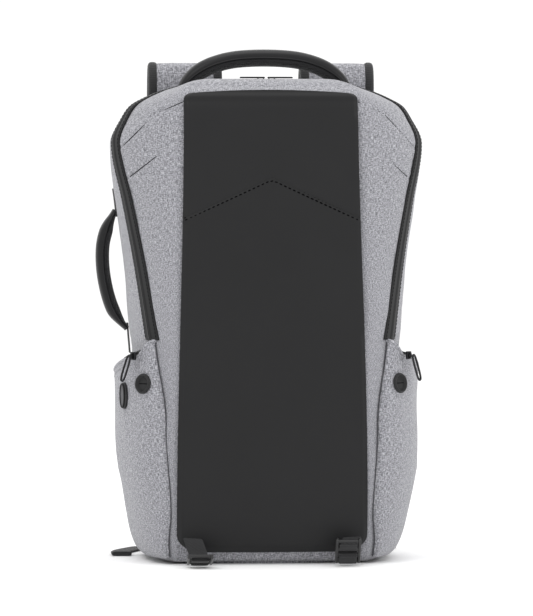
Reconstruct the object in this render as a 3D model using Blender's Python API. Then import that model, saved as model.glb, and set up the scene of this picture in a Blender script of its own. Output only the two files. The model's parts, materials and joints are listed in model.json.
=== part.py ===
"""Solar backpack with a smooth front cover, a fold-down front, side pockets and a charging port.

Metres, +Z up. The front faces -Y, "left" is -X as seen from the front, and the flat base rests on z = 0.
Every soft panel is a thin closed slab over one body surface, which surface() gives.
"""

import math

import bmesh
import bpy
from mathutils import Matrix, Vector

# Overall size of the pack's body, without straps and handles.
HEIGHT = 0.480
HALF_WIDTH = 0.157
FRONT_DEPTH = 0.084
BACK_DEPTH = 0.074
WIDEST_Y = 0.022

# Shares of the height, half width, front depth and back depth that the body's outline passes through.
OUTLINE = (
    (0.000, 0.640, 0.70, 0.72),
    (0.012, 0.760, 0.82, 0.86),
    (0.035, 0.815, 0.90, 0.93),
    (0.100, 0.840, 0.96, 0.98),
    (0.250, 0.850, 1.00, 1.00),
    (0.400, 0.855, 1.00, 1.00),
    (0.470, 0.870, 0.985, 1.00),
    (0.620, 0.910, 0.90, 0.97),
    (0.750, 0.957, 0.826, 0.93),
    (0.870, 1.000, 0.758, 0.87),
    (0.920, 0.925, 0.730, 0.83),
    (0.950, 0.850, 0.700, 0.79),
    (0.970, 0.735, 0.630, 0.74),
    (0.985, 0.590, 0.500, 0.66),
    (0.994, 0.460, 0.330, 0.50),
)
CROWN_HALF_WIDTH = 0.048
BACK_SQUARENESS = 4.5

# Walls and clearances.
WALL = 0.003
THIN = 0.0015
GAP = 0.0005
LOOSE = 0.001

# The front folds down about a line across the cover, and opens along a slanting plane.
FOLD_HEIGHT = 0.222
ZIP_LOW_Y = -0.063
ZIP_CROWN_Y = 0.00408
ZIP_SLOPE = (ZIP_CROWN_Y - ZIP_LOW_Y) / (HEIGHT - FOLD_HEIGHT)
TAPE_WIDTH = 0.006
TAPE_THICKNESS = 0.0012

# Front cover and what slides in behind it.
COVER_HALF_WIDTH = 0.090
COVER_STANDOFF = 0.0055
COVER_BOTTOM = 0.010
COVER_TOP_SHARE = 0.972
PANEL_HALF_WIDTH = 0.080
PANEL_HEIGHT = 0.200
PANEL_THICKNESS = 0.0014
PANEL_ABOVE_FOLD = 0.014
TAB_LENGTH = 0.012

# Side pockets.
POCKET_BULGE = 0.0165
POCKET_BOTTOM = 0.010
POCKET_FRONT = 0.09
POCKET_REAR = 0.66
POCKET_SIDE_DROP = 0.033
POCKET_RIM_WIDTH = 0.008
POCKET_FALL_START = 0.12
POCKET_FALL_LENGTH = 0.40

# Openings and ports on the pockets, as heights and places round the side.
GROMMET_RADIUS = 0.0100
GROMMET_BELOW_FOLD = 0.042
GROMMET_HEIGHT = FOLD_HEIGHT - GROMMET_BELOW_FOLD
GROMMET_PLACE = 0.185
PORT_BELOW_FOLD = 0.0555
PORT_HEIGHT = FOLD_HEIGHT - PORT_BELOW_FOLD
PORT_PLACE = 0.295
PORT_HALF_LENGTH = 0.0125
PORT_HALF_WIDTH = 0.0055
PORT_DEPTH = 0.003

# Handles.
HAUL_HALF_SPAN = 0.080
HAUL_RISE = 0.019
HAUL_Y = 0.030
HANDLE_THICKNESS = 0.014
HAUL_WIDTH = 0.026
HANDLE_STANDOFF = 0.007
SIDE_HANDLE_LOW = 0.236
SIDE_HANDLE_HIGH = 0.344
SIDE_HANDLE_REACH = 0.015
SIDE_HANDLE_PLACE = 0.53
SIDE_HANDLE_WIDTH = 0.024

# Shoulder straps and their webbing.
STRAP_X = 0.078
STRAP_WIDTH = 0.070
STRAP_THICKNESS = 0.012
STRAP_RISE = 0.017
STRAP_BOTTOM = 0.150
WEBBING_WIDTH = 0.022
WEBBING_THICKNESS = 0.0016
WEBBING_ROOM = 0.012
BUCKLE_ROOM = 0.006
BUCKLE_LENGTH = 0.026
BUCKLE_THICKNESS = 0.005

# Back padding and what is inside.
PAD_THICKNESS = 0.010
PAD_HALF_WIDTH = 0.036
PAD_CHANNEL = 0.012
LUMBAR_HEIGHT = 0.080
SHEET_HALF_WIDTH = 0.094
INNER_FOOT = 0.024
DIVIDER_HALF_WIDTH = 0.108
DIVIDER_THICKNESS = 0.006
DIVIDER_HEIGHT = 0.270
LAPTOP_SPACE = 0.012
BANK_SIZE = (0.016, 0.062, 0.105)
BANK_FOOT = 0.030
CABLE_RADIUS = 0.002

# Lash straps under the front.
LASH_X = 0.073
LASH_WIDTH = 0.018
LASH_DROP = 0.020
LASH_BUCKLE_LENGTH = 0.029
LASH_TILT = {"left": 18.0, "right": 60.0}

# Zip sliders.
POCKET_SLIDER_SHARE = 0.23
POCKET_SLIDER_SIZE = (0.0045, 0.0035, 0.003)
SLIDER_SIZE = (0.010, 0.009, 0.004)
SLIDER_ROOM = 0.0022
PULL_LENGTH = 0.024
PULL_WIDTH = 0.006
PULL_THICKNESS = 0.0016
PULL_LEAN = 0.25


def clear_scene():
    for found in list(bpy.data.objects):
        bpy.data.objects.remove(found, do_unlink=True)


def material(name, colour, roughness, metallic=0.0):
    made = bpy.data.materials.new(name)
    made.use_nodes = True
    shader = made.node_tree.nodes["Principled BSDF"]
    shader.inputs["Base Color"].default_value = (*colour, 1.0)
    shader.inputs["Roughness"].default_value = roughness
    shader.inputs["Metallic"].default_value = metallic
    return made


def add_object(name, bm, finish, smooth=True):
    bmesh.ops.remove_doubles(bm, verts=bm.verts, dist=1e-6)
    bmesh.ops.recalc_face_normals(bm, faces=bm.faces)
    mesh = bpy.data.meshes.new(name)
    bm.to_mesh(mesh)
    bm.free()
    mesh.materials.append(finish)
    if smooth:
        mesh.shade_smooth()
        mesh.set_sharp_from_angle(angle=math.radians(40))
    made = bpy.data.objects.new(name, mesh)
    bpy.context.scene.collection.objects.link(made)
    return made


def set_origin(made, point):
    """Moves the object's origin to a joint's axis and leaves its shape where it is."""
    offset = Vector(point)
    for vertex in made.data.vertices:
        vertex.co -= offset
    made.location = offset


def profile(share):
    """Half width, front depth and back depth at a share of the height, on one smooth curve."""
    last = len(OUTLINE) - 1
    low = 0
    while low < last - 1 and OUTLINE[low + 1][0] <= share:
        low += 1
    start = OUTLINE[low]
    end = OUTLINE[low + 1]
    before = OUTLINE[max(low - 1, 0)]
    after = OUTLINE[min(low + 2, last)]
    span = end[0] - start[0]
    t = min(max((share - start[0]) / span, 0.0), 1.0)
    values = []
    for k in (1, 2, 3):
        slope_in = (end[k] - before[k]) / (end[0] - before[0]) * span
        slope_out = (after[k] - start[k]) / (after[0] - start[0]) * span
        value = (2 * t**3 - 3 * t**2 + 1) * start[k] + (t**3 - 2 * t**2 + t) * slope_in
        value += (3 * t**2 - 2 * t**3) * end[k] + (t**3 - t**2) * slope_out
        values.append(value)
    return values[0] * HALF_WIDTH, values[1] * FRONT_DEPTH, values[2] * BACK_DEPTH


def zip_plane(z):
    return ZIP_LOW_Y + ZIP_SLOPE * (z - FOLD_HEIGHT)


def surface(z, place, side=1):
    """A point on the body. place runs from -1, front centre, by 0, the front corner, and 0.5, widest, to 1, back centre."""
    width, front, back = profile(z / HEIGHT)
    corner = min(COVER_HALF_WIDTH, 0.93 * width)
    widest = WIDEST_Y * back / BACK_DEPTH
    if place < 0:
        return Vector((side * corner * (1 + place), -front, z))
    if place < 0.5:
        turn = place * math.pi
        x = corner + (width - corner) * math.sin(turn)
        return Vector((side * x, widest - (widest + front) * math.cos(turn), z))
    turn = (place - 0.5) * math.pi
    x = width * max(math.cos(turn), 0.0) ** (2 / BACK_SQUARENESS)
    y = widest + (back - widest) * math.sin(turn) ** (2 / BACK_SQUARENESS)
    return Vector((side * x, y, z))


def outward(z, place, side=1):
    """The surface's unit normal."""
    step = 0.004
    up = surface(min(z + step, 0.99 * HEIGHT), place, side) - surface(max(z - step, 0.0), place, side)
    along = surface(z, place + 0.01, side) - surface(z, place - 0.01, side)
    normal = along.cross(up).normalized() * side
    return normal


def zip_place(z, behind):
    """Where round the side the opening runs at this height, shifted behind its plane by a distance."""
    _, front, back = profile(z / HEIGHT)
    widest = WIDEST_Y * back / BACK_DEPTH
    share = (widest - zip_plane(z) - behind) / (widest + front)
    return math.acos(min(max(share, 0.05), 0.98)) / math.pi


def spread(low, high, count):
    return [low + (high - low) * i / (count - 1) for i in range(count)]


def outline_heights(low, high):
    """Heights from low to high, with a row wherever the outline has one of its own."""
    inner = [share * HEIGHT for share, *_ in OUTLINE]
    return [low] + [z for z in inner if low + 0.004 < z < high - 0.002] + [high]


def grid_normal(grid, i, j):
    rows = len(grid)
    columns = len(grid[0])
    along = grid[i][min(j + 1, columns - 1)] - grid[i][max(j - 1, 0)]
    across = grid[min(i + 1, rows - 1)][j] - grid[max(i - 1, 0)][j]
    return along.cross(across).normalized()


def grid_normals(grid):
    """Unit normals of a grid of points, turned away from the middle of the pack."""
    rows = len(grid)
    columns = len(grid[0])
    middle = grid[rows // 2][columns // 2] - Vector((0, 0, HEIGHT / 2))
    sign = 1 if grid_normal(grid, rows // 2, columns // 2).dot(middle) > 0 else -1
    return [[sign * grid_normal(grid, i, j) for j in range(columns)] for i in range(rows)]


def slab(name, grid, thickness, finish, normals=None):
    """A closed sheet of this thickness, whose outer face is the grid and whose inner face lies against the normals."""
    bm = bmesh.new()
    rows = len(grid)
    columns = len(grid[0])
    normals = normals or grid_normals(grid)
    outer = [[bm.verts.new(point) for point in row] for row in grid]
    inner = []
    for i in range(rows):
        row = [grid[i][j] - thickness * normals[i][j] for j in range(columns)]
        inner.append([bm.verts.new(point) for point in row])
    for i in range(rows - 1):
        for j in range(columns - 1):
            bm.faces.new((outer[i][j], outer[i][j + 1], outer[i + 1][j + 1], outer[i + 1][j]))
            bm.faces.new((inner[i][j], inner[i + 1][j], inner[i + 1][j + 1], inner[i][j + 1]))
    rim = [(0, j) for j in range(columns)] + [(i, columns - 1) for i in range(1, rows)]
    rim += [(rows - 1, j) for j in range(columns - 2, -1, -1)] + [(i, 0) for i in range(rows - 2, 0, -1)]
    for (i, j), (k, m) in zip(rim, rim[1:] + rim[:1]):
        bm.faces.new((outer[i][j], inner[i][j], inner[k][m], outer[k][m]))
    return add_object(name, bm, finish)


def loft(name, rings, finish, smooth=True):
    """A closed solid through rings of equal length, capped at both ends."""
    bm = bmesh.new()
    made = [[bm.verts.new(point) for point in ring] for ring in rings]
    count = len(made[0])
    for low, high in zip(made, made[1:]):
        for i in range(count):
            k = (i + 1) % count
            bm.faces.new((low[i], low[k], high[k], high[i]))
    bm.faces.new(made[0])
    bm.faces.new(made[-1])
    return add_object(name, bm, finish, smooth)


def strip(name, path, widthwise, width, thickness, finish, sides=4):
    """A flat strap or an oval pad swept along a path; widthwise is the direction of its width."""
    rings = []
    for i, point in enumerate(path):
        along = (path[min(i + 1, len(path) - 1)] - path[max(i - 1, 0)]).normalized()
        across = (widthwise - along * widthwise.dot(along)).normalized()
        normal = along.cross(across)
        ring = []
        for k in range(sides):
            turn = 2 * math.pi * (k + 0.5) / sides
            stretch = 0.5 / math.cos(math.pi / sides) if sides == 4 else 0.5
            offset = across * width * math.cos(turn) + normal * thickness * math.sin(turn)
            ring.append(point + offset * stretch)
        rings.append(ring)
    return loft(name, rings, finish)


def block(name, centre, size, finish, bevel=0.0):
    bm = bmesh.new()
    bmesh.ops.create_cube(bm, size=1.0)
    bmesh.ops.scale(bm, vec=size, verts=bm.verts)
    if bevel:
        bmesh.ops.bevel(
            bm, geom=bm.edges[:], offset=bevel, affect="EDGES", segments=2, profile=0.5, material=-1
        )
    bmesh.ops.translate(bm, vec=centre, verts=bm.verts)
    return add_object(name, bm, finish)


def smooth_path(points, steps):
    """Points on a smooth curve through the given ones."""
    path = []
    for i in range(len(points) - 1):
        before = points[max(i - 1, 0)]
        after = points[min(i + 2, len(points) - 1)]
        for k in range(steps):
            t = k / steps
            path.append(
                0.5
                * (
                    2 * points[i]
                    + t * (points[i + 1] - before)
                    + t * t * (2 * before - 5 * points[i] + 4 * points[i + 1] - after)
                    + t**3 * (3 * points[i] - before - 3 * points[i + 1] + after)
                )
            )
    return path + [points[-1]]


def make_materials():
    return {
        "canvas": material("grey_woven_polyester", (0.36, 0.36, 0.39), 0.9),
        "cover": material("smooth_black_coated_fabric", (0.025, 0.025, 0.027), 0.55),
        "webbing": material("black_webbing", (0.016, 0.016, 0.017), 0.8),
        "mesh": material("black_padded_mesh", (0.02, 0.02, 0.022), 0.95),
        "plastic": material("black_acetal", (0.02, 0.02, 0.02), 0.4),
        "rubber": material("black_rubber", (0.018, 0.018, 0.018), 0.7),
        "metal": material("dark_zinc", (0.12, 0.12, 0.12), 0.35, 1.0),
        "cells": material("solar_laminate", (0.01, 0.012, 0.03), 0.25),
        "lining": material("black_lining", (0.03, 0.03, 0.032), 0.85),
    }


def base_panel(finish):
    count = 24
    rings = []
    for z in (0.0, 0.0045):
        right = [surface(z, place) for place in spread(-1, 1, count)]
        left = [Vector((-point.x, point.y, point.z)) for point in right[-2:0:-1]]
        rings.append(right + left)
    return loft("base_panel", rings, finish)


def full_row(z, places):
    """One row right round the body, from the back centre by the right side to the back again."""
    right = [surface(z, place) for place in places]
    left = [Vector((-point.x, point.y, point.z)) for point in right[-2::-1]]
    return right + left


def lower_shell(finish):
    """The tub below the fold line: two halves joined round, so its rows close on themselves."""
    places = [0.97, 0.86, 0.76, 0.66, 0.58, 0.5, 0.4, 0.3, 0.2, 0.1, 0.0, -1.0]
    grid = [full_row(z, places) for z in outline_heights(0.005 + GAP, FOLD_HEIGHT - GAP)]
    bm = bmesh.new()
    outer = [[bm.verts.new(point) for point in row] for row in grid]
    inner = []
    count = len(grid[0])
    for i, row in enumerate(grid):
        made = []
        for j in range(count):
            along = row[(j + 1) % count] - row[j - 1]
            across = grid[min(i + 1, len(grid) - 1)][j] - grid[max(i - 1, 0)][j]
            normal = along.cross(across).normalized()
            if normal.dot(Vector((row[j].x, row[j].y, 0))) < 0:
                normal = -normal
            made.append(bm.verts.new(row[j] - WALL * normal))
        inner.append(made)
    for i in range(len(grid) - 1):
        for j in range(count):
            k = (j + 1) % count
            bm.faces.new((outer[i][j], outer[i][k], outer[i + 1][k], outer[i + 1][j]))
            bm.faces.new((inner[i][j], inner[i + 1][j], inner[i + 1][k], inner[i][k]))
    for i in (0, len(grid) - 1):
        for j in range(count):
            k = (j + 1) % count
            bm.faces.new((outer[i][j], inner[i][j], inner[i][k], outer[i][k]))
    return add_object("lower_shell", bm, finish)


def crown_row(shares, behind):
    y = zip_plane(HEIGHT) + behind
    return [Vector((CROWN_HALF_WIDTH * share, y, HEIGHT)) for share in shares]


def mirrored(row):
    """The row from its right end to the middle, and on to the left end."""
    return row + [Vector((-point.x, point.y, point.z)) for point in row[-2::-1]]


def half_shell(name, behind, shares, finish):
    """The body's wall from the zip round the back, or round the front, closed over the crown.

    shares run from 0 at the zip to 1 at the middle of the back, or by the front corner to -1.
    """
    grid = []
    normals = []
    for z in outline_heights(FOLD_HEIGHT + GAP, OUTLINE[-1][0] * HEIGHT):
        start = zip_place(z, behind)
        if behind > 0:
            places = [start + (1 - start) * share for share in shares]
        else:
            places = [start * (1 - share) if share <= 1 else 1 - share for share in shares]
        grid.append(mirrored([surface(z, place) for place in places]))
        normals.append(mirrored([outward(z, place) for place in places]))
    grid.append(crown_row(spread(1, -1, len(grid[0])), behind))
    normals.append([Vector((0, 0, 1))] * len(grid[0]))
    return slab(name, grid, WALL, finish, normals)


def cover_front(z):
    return -profile(z / HEIGHT)[1] - COVER_STANDOFF


def cover(name, low, high, finish):
    grid = []
    for z in outline_heights(low, high):
        grid.append([Vector((x, cover_front(z), z)) for x in spread(COVER_HALF_WIDTH, -COVER_HALF_WIDTH, 3)])
    return slab(name, grid, THIN, finish)


def zip_tape(name, direction, finish):
    """One half of the main zip: from the fold line up one side, over the crown and down the other side."""
    top = OUTLINE[-1][0] * HEIGHT
    near = direction * GAP
    far = direction * (GAP + TAPE_WIDTH)
    pairs = []
    for z in outline_heights(FOLD_HEIGHT + 2 * GAP, top):
        inner = zip_place(z, near)
        outer = zip_place(z, far)
        lift = outward(z, inner) * (LOOSE + TAPE_THICKNESS)
        pairs.append([surface(z, inner) + lift, surface(z, outer) + lift])
    lift = Vector((0, 0, LOOSE + TAPE_THICKNESS))
    for share in (0.9, 0.45):
        pairs.append([crown_row((share,), near)[0] + lift, crown_row((share,), far)[0] + lift])
    middle = [crown_row((0,), near)[0] + lift, crown_row((0,), far)[0] + lift]
    left = [[Vector((-p.x, p.y, p.z)) for p in pair] for pair in reversed(pairs)]
    return slab(name, pairs + [middle] + left, TAPE_THICKNESS, finish)


def pocket_top(share):
    """Height of the pocket's rim, high at its front seam and lower along the side."""
    fall = min(max((share - POCKET_FALL_START) / POCKET_FALL_LENGTH, 0.0), 1.0)
    return FOLD_HEIGHT - GAP - POCKET_SIDE_DROP * (3 * fall**2 - 2 * fall**3)


def pocket_point(share, rise, side, extra=0.0):
    """A point on the pocket's outer face: share runs from its front seam to its rear one, rise from its foot to its rim."""
    place = POCKET_FRONT + (POCKET_REAR - POCKET_FRONT) * share
    z = POCKET_BOTTOM + (pocket_top(share) - POCKET_BOTTOM) * rise
    fullness = math.sin(math.pi * share) ** 0.6 * min(rise / 0.35, 1.0) ** 0.6 if share and rise else 0.0
    offset = GAP + WALL + POCKET_BULGE * fullness + extra
    return surface(z, place, side) + outward(z, place, side) * offset


def side_pocket(side, word, finish):
    grid = []
    for rise in (0.0, 0.04, 0.12, 0.22, 0.35, 0.55, 0.75, 0.9, 1.0):
        grid.append([pocket_point(share, rise, side) for share in spread(0.0, 1.0, 11)])
    return slab(f"side_pocket_{word}", grid, WALL - GAP, finish)


def pocket_zip(side, word, finish):
    """The zip along the pocket's rim, standing just outside it."""
    grid = []
    for share in spread(0.1, 0.6, 8):
        rise = 1.0 - POCKET_RIM_WIDTH / (pocket_top(share) - POCKET_BOTTOM)
        grid.append([pocket_point(share, r, side, LOOSE + TAPE_THICKNESS) for r in (rise, 0.998)])
    return slab(f"pocket_zip_{word}", grid, TAPE_THICKNESS, finish)


def frame_at(share, rise, side, extra):
    """A point over the pocket's face with its outward, forward and upward directions."""
    point = pocket_point(share, rise, side, extra)
    along = (pocket_point(share + 0.02, rise, side) - pocket_point(share - 0.02, rise, side)).normalized()
    up = (pocket_point(share, rise + 0.02, side) - pocket_point(share, rise - 0.02, side)).normalized()
    normal = along.cross(up).normalized()
    if normal.dot(point - Vector((0, 0, point.z))) < 0:
        normal = -normal
    up = (up - normal * up.dot(normal)).normalized()
    return point, normal, normal.cross(up).normalized(), up


def oval_plug(name, at, half_width, half_length, low, high, finish):
    point, normal, across, up = at
    rings = []
    for lift in (low, high):
        ring = []
        for k in range(12):
            turn = 2 * math.pi * k / 12
            offset = across * half_width * math.cos(turn) + up * half_length * math.sin(turn)
            ring.append(point + offset + normal * lift)
        rings.append(ring)
    return loft(name, rings, finish)


def share_of(place):
    return (place - POCKET_FRONT) / (POCKET_REAR - POCKET_FRONT)


def rise_of(z, share):
    return (z - POCKET_BOTTOM) / (pocket_top(share) - POCKET_BOTTOM)


def grommet(side, word, finish):
    share = share_of(GROMMET_PLACE)
    at = frame_at(share, rise_of(GROMMET_HEIGHT, share), side, LOOSE)
    return oval_plug(f"earphone_grommet_{word}", at, GROMMET_RADIUS, GROMMET_RADIUS, 0.0, 0.003, finish)


def charging_port(materials):
    """The port's housing stands on the left pocket, with a rubber cap that hinges on its rear edge."""
    share = share_of(PORT_PLACE)
    at = frame_at(share, rise_of(PORT_HEIGHT, share), -1, LOOSE)
    point, normal, across, _ = at
    oval_plug("charging_port", at, PORT_HALF_WIDTH, PORT_HALF_LENGTH, 0.0, PORT_DEPTH, materials["plastic"])
    low = PORT_DEPTH + GAP
    oval_plug("port_cap", at, PORT_HALF_WIDTH, PORT_HALF_LENGTH, low, low + THIN, materials["rubber"])
    rear = -across if across.y < 0 else across
    hinge = point + rear * (PORT_HALF_WIDTH + LOOSE) + normal * (low + THIN)
    set_origin(bpy.data.objects["port_cap"], hinge)


def haul_handle(finish):
    points = []
    foot = HEIGHT * 0.985 + HANDLE_STANDOFF + HANDLE_THICKNESS / 2
    for k in range(15):
        turn = math.pi * k / 14
        x = -math.cos(turn) * HAUL_HALF_SPAN
        rise = math.sin(turn) ** 0.75 * HAUL_RISE
        points.append(Vector((x, HAUL_Y, foot + rise)))
    made = strip("haul_handle", points, Vector((0, 1, 0)), HAUL_WIDTH, HANDLE_THICKNESS, finish, 8)
    set_origin(made, (0, HAUL_Y, foot))


def side_handle(finish):
    points = []
    for k in range(13):
        z = SIDE_HANDLE_LOW + (SIDE_HANDLE_HIGH - SIDE_HANDLE_LOW) * k / 12
        bulge = math.sin(math.pi * k / 12) ** 0.7 * SIDE_HANDLE_REACH
        side = surface(z, SIDE_HANDLE_PLACE, -1)
        offset = HANDLE_STANDOFF + HANDLE_THICKNESS / 2 + bulge
        points.append(side + outward(z, SIDE_HANDLE_PLACE, -1) * offset)
    made = strip("side_handle", points, Vector((0, 1, 0)), SIDE_HANDLE_WIDTH, HANDLE_THICKNESS * 0.8, finish, 8)
    set_origin(made, points[0])


def strap_root():
    """The sewn line that a shoulder strap hangs from, behind the crown."""
    return BACK_DEPTH + 0.006, HEIGHT - 0.020


def shoulder_strap(side, word, materials):
    y, z = strap_root()
    far = BACK_DEPTH + PAD_THICKNESS + LOOSE + 0.5 * STRAP_THICKNESS
    route = [
        (y, z),
        (y + 0.001, HEIGHT + STRAP_RISE - 0.012),
        (y + 0.010, HEIGHT + STRAP_RISE - 0.002),
        (far + 0.012, HEIGHT + STRAP_RISE - 0.013),
        (far + 0.020, HEIGHT - 0.050),
        (far + 0.024, 0.5 * (HEIGHT + STRAP_BOTTOM)),
        (far + 0.018, STRAP_BOTTOM + 0.070),
        (far + 0.012, STRAP_BOTTOM),
    ]
    points = smooth_path([Vector((side * STRAP_X, py, pz)) for py, pz in route], 3)
    made = strip(
        f"shoulder_strap_{word}", points, Vector((1, 0, 0)), STRAP_WIDTH, STRAP_THICKNESS, materials["canvas"], 8
    )
    set_origin(made, (side * STRAP_X, y, z))
    centre = (side * STRAP_X, far + 0.010, STRAP_BOTTOM - BUCKLE_LENGTH / 2 - LOOSE)
    size = (WEBBING_WIDTH + 0.010, BUCKLE_THICKNESS, BUCKLE_LENGTH)
    buckle = block(f"strap_buckle_{word}", centre, size, materials["plastic"], 0.001)
    set_origin(buckle, (side * STRAP_X, y, z))
    webbing_top = STRAP_BOTTOM - BUCKLE_LENGTH - BUCKLE_ROOM
    loop = far + 0.010
    anchor = surface(0.045, 0.70, side)
    route = [
        anchor + outward(0.045, 0.70, side) * WEBBING_ROOM,
        Vector((side * (STRAP_X + 0.010), loop - 0.006, webbing_top - 0.030)),
        Vector((side * STRAP_X, loop - 0.004, webbing_top - 0.006)),
        Vector((side * STRAP_X, loop, webbing_top)),
        Vector((side * STRAP_X, loop + 0.004, webbing_top - 0.006)),
        Vector((side * (STRAP_X + 0.006), loop + 0.007, webbing_top - 0.045)),
        Vector((side * (STRAP_X + 0.016), loop + 0.008, 0.018)),
        Vector((side * (STRAP_X + 0.026), loop + 0.006, 0.004)),
        Vector((side * (STRAP_X + 0.060), loop - 0.002, 0.002)),
    ]
    strip(
        f"strap_webbing_{word}",
        smooth_path(route, 3),
        Vector((side, 0.9, 0)).normalized(),
        WEBBING_WIDTH,
        WEBBING_THICKNESS,
        materials["webbing"],
    )


def back_padding(materials):
    """Two long pads with an air channel between them, over a lumbar pad."""
    low = 0.050
    split = low + LUMBAR_HEIGHT
    high = HEIGHT * 0.88
    for side, word in ((-1, "left"), (1, "right")):
        grid = []
        for z in spread(split + LOOSE, high, 6):
            back = profile(z / HEIGHT)[2] + LOOSE + PAD_THICKNESS
            xs = spread(side * (PAD_CHANNEL / 2), side * (PAD_CHANNEL / 2 + 2 * PAD_HALF_WIDTH), 4)
            grid.append([Vector((x, back, z)) for x in xs])
        slab(f"back_pad_{word}", grid, PAD_THICKNESS, materials["mesh"])
    grid = []
    for z in spread(low, split, 4):
        back = profile(z / HEIGHT)[2] + LOOSE + PAD_THICKNESS
        reach = PAD_CHANNEL / 2 + 2 * PAD_HALF_WIDTH
        grid.append([Vector((x, back, z)) for x in spread(-reach, reach, 5)])
    slab("lumbar_pad", grid, PAD_THICKNESS, materials["mesh"])


def inner_parts(materials):
    low = INNER_FOOT
    back = profile(0.88)[2] - WALL - LOOSE
    top = HEIGHT * 0.86
    size = (2 * SHEET_HALF_WIDTH, THIN, top - low)
    block("frame_sheet", (0, back - THIN / 2, (low + top) / 2), size, materials["plastic"])
    divider = back - THIN - LAPTOP_SPACE
    size = (2 * DIVIDER_HALF_WIDTH, DIVIDER_THICKNESS, DIVIDER_HEIGHT)
    centre = (0, divider - DIVIDER_THICKNESS / 2, low + DIVIDER_HEIGHT / 2)
    block("laptop_divider", centre, size, materials["lining"])
    bank_x = -(DIVIDER_HALF_WIDTH - BANK_SIZE[0] / 2 + 0.006)
    bank_y = divider - DIVIDER_THICKNESS - LOOSE - BANK_SIZE[1] / 2
    centre = (bank_x, bank_y, BANK_FOOT + BANK_SIZE[2] / 2)
    block("power_bank", centre, BANK_SIZE, materials["plastic"], 0.002)
    share = share_of(PORT_PLACE)
    point, normal, _, _ = frame_at(share, rise_of(PORT_HEIGHT, share), -1, LOOSE)
    bank_top = BANK_FOOT + BANK_SIZE[2] + GAP + CABLE_RADIUS
    route = [
        Vector((bank_x, bank_y, bank_top - CABLE_RADIUS)),
        Vector((bank_x, bank_y, bank_top + 0.006)),
        Vector((bank_x, bank_y - 0.002, bank_top + 0.016)),
        point - normal * 0.037,
        point - normal * 0.030,
        point - normal * 0.015,
        point - normal * (0.5 * LOOSE),
    ]
    curve = bpy.data.curves.new("charging_cable", "CURVE")
    curve.dimensions = "3D"
    curve.bevel_depth = CABLE_RADIUS
    curve.bevel_resolution = 2
    curve.use_fill_caps = True
    line = curve.splines.new("POLY")
    path = smooth_path(route, 4)
    line.points.add(len(path) - 1)
    for i, p in enumerate(path):
        line.points[i].co = (*p, 1.0)
    curve.materials.append(materials["rubber"])
    bpy.context.scene.collection.objects.link(bpy.data.objects.new("charging_cable", curve))
    hole = loft_tube("cable_hole", point - normal * 0.030, point + normal * LOOSE, CABLE_RADIUS + 2 * LOOSE)
    for name in ("lower_shell", "side_pocket_left"):
        cut = bpy.data.objects[name].modifiers.new("Cable hole", "BOOLEAN")
        cut.operation = "DIFFERENCE"
        cut.object = hole


def loft_tube(name, start, end, radius):
    """A round cutter from start to end, which only cuts and isn't a piece."""
    along = (end - start).normalized()
    across = along.orthogonal().normalized()
    other = along.cross(across)
    rings = []
    for centre in (start, end):
        turns = [2 * math.pi * k / 12 for k in range(12)]
        rings.append([centre + (across * math.cos(t) + other * math.sin(t)) * radius for t in turns])
    made = loft(name, rings, bpy.data.materials["black_rubber"])
    made.hide_render = True
    made.display_type = "WIRE"
    return made


def front_pieces(materials):
    cover("front_cover_lower", COVER_BOTTOM, FOLD_HEIGHT - GAP, materials["cover"])
    cover("front_cover_upper", FOLD_HEIGHT + GAP, COVER_TOP_SHARE * HEIGHT, materials["cover"])
    low = FOLD_HEIGHT + PANEL_ABOVE_FOLD
    grid = []
    middle = (COVER_STANDOFF - THIN + PANEL_THICKNESS) / 2
    for z in outline_heights(low, low + PANEL_HEIGHT):
        y = -profile(z / HEIGHT)[1] - middle
        grid.append([Vector((x, y, z)) for x in (PANEL_HALF_WIDTH, -PANEL_HALF_WIDTH)])
    slab("solar_panel", grid, PANEL_THICKNESS, materials["cells"])
    z = low + PANEL_HEIGHT / 2
    y = -profile(z / HEIGHT)[1] - COVER_STANDOFF / 2 + THIN / 2
    centre = (PANEL_HALF_WIDTH + GAP + TAB_LENGTH / 2 - 0.005, y, z)
    block("panel_tab", centre, (TAB_LENGTH - 0.010, THIN * 0.6, 0.020), materials["webbing"])
    z = FOLD_HEIGHT + 0.060
    y = -profile(z / HEIGHT)[1] + WALL + LOOSE + 0.006
    block("charge_controller", (0, y, z), (0.050, 0.010, 0.030), materials["plastic"], 0.001)
    for word in ("front_cover_upper", "flap_shell", "charge_controller"):
        set_origin(bpy.data.objects[word], (0, cover_front(FOLD_HEIGHT) - GAP, FOLD_HEIGHT))


def lash_strap(side, word, materials):
    x = side * LASH_X
    z = LASH_DROP
    front = cover_front(z) - LOOSE - WEBBING_THICKNESS
    route = [
        Vector((x, front, z + 0.012)),
        Vector((x, front - 0.001, z)),
        Vector((x, front - 0.006, z * 0.5)),
        Vector((x, front - 0.012, 0.006)),
    ]
    strip(
        f"lash_webbing_{word}",
        smooth_path(route, 3),
        Vector((1, 0, 0)),
        LASH_WIDTH,
        WEBBING_THICKNESS,
        materials["webbing"],
    )
    hinge = Vector((x, front - 0.014, 0.004))
    centre = hinge + Vector((0, -LASH_BUCKLE_LENGTH / 2, 0))
    size = (LASH_WIDTH + 0.007, LASH_BUCKLE_LENGTH - LOOSE, BUCKLE_THICKNESS)
    buckle = block(f"lash_buckle_{word}", centre, size, materials["plastic"], 0.001)
    lift = Matrix.Rotation(-math.radians(LASH_TILT[word]), 4, "X")
    buckle.data.transform(Matrix.Translation(hinge) @ lift @ Matrix.Translation(-hinge))
    set_origin(buckle, hinge)


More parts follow.
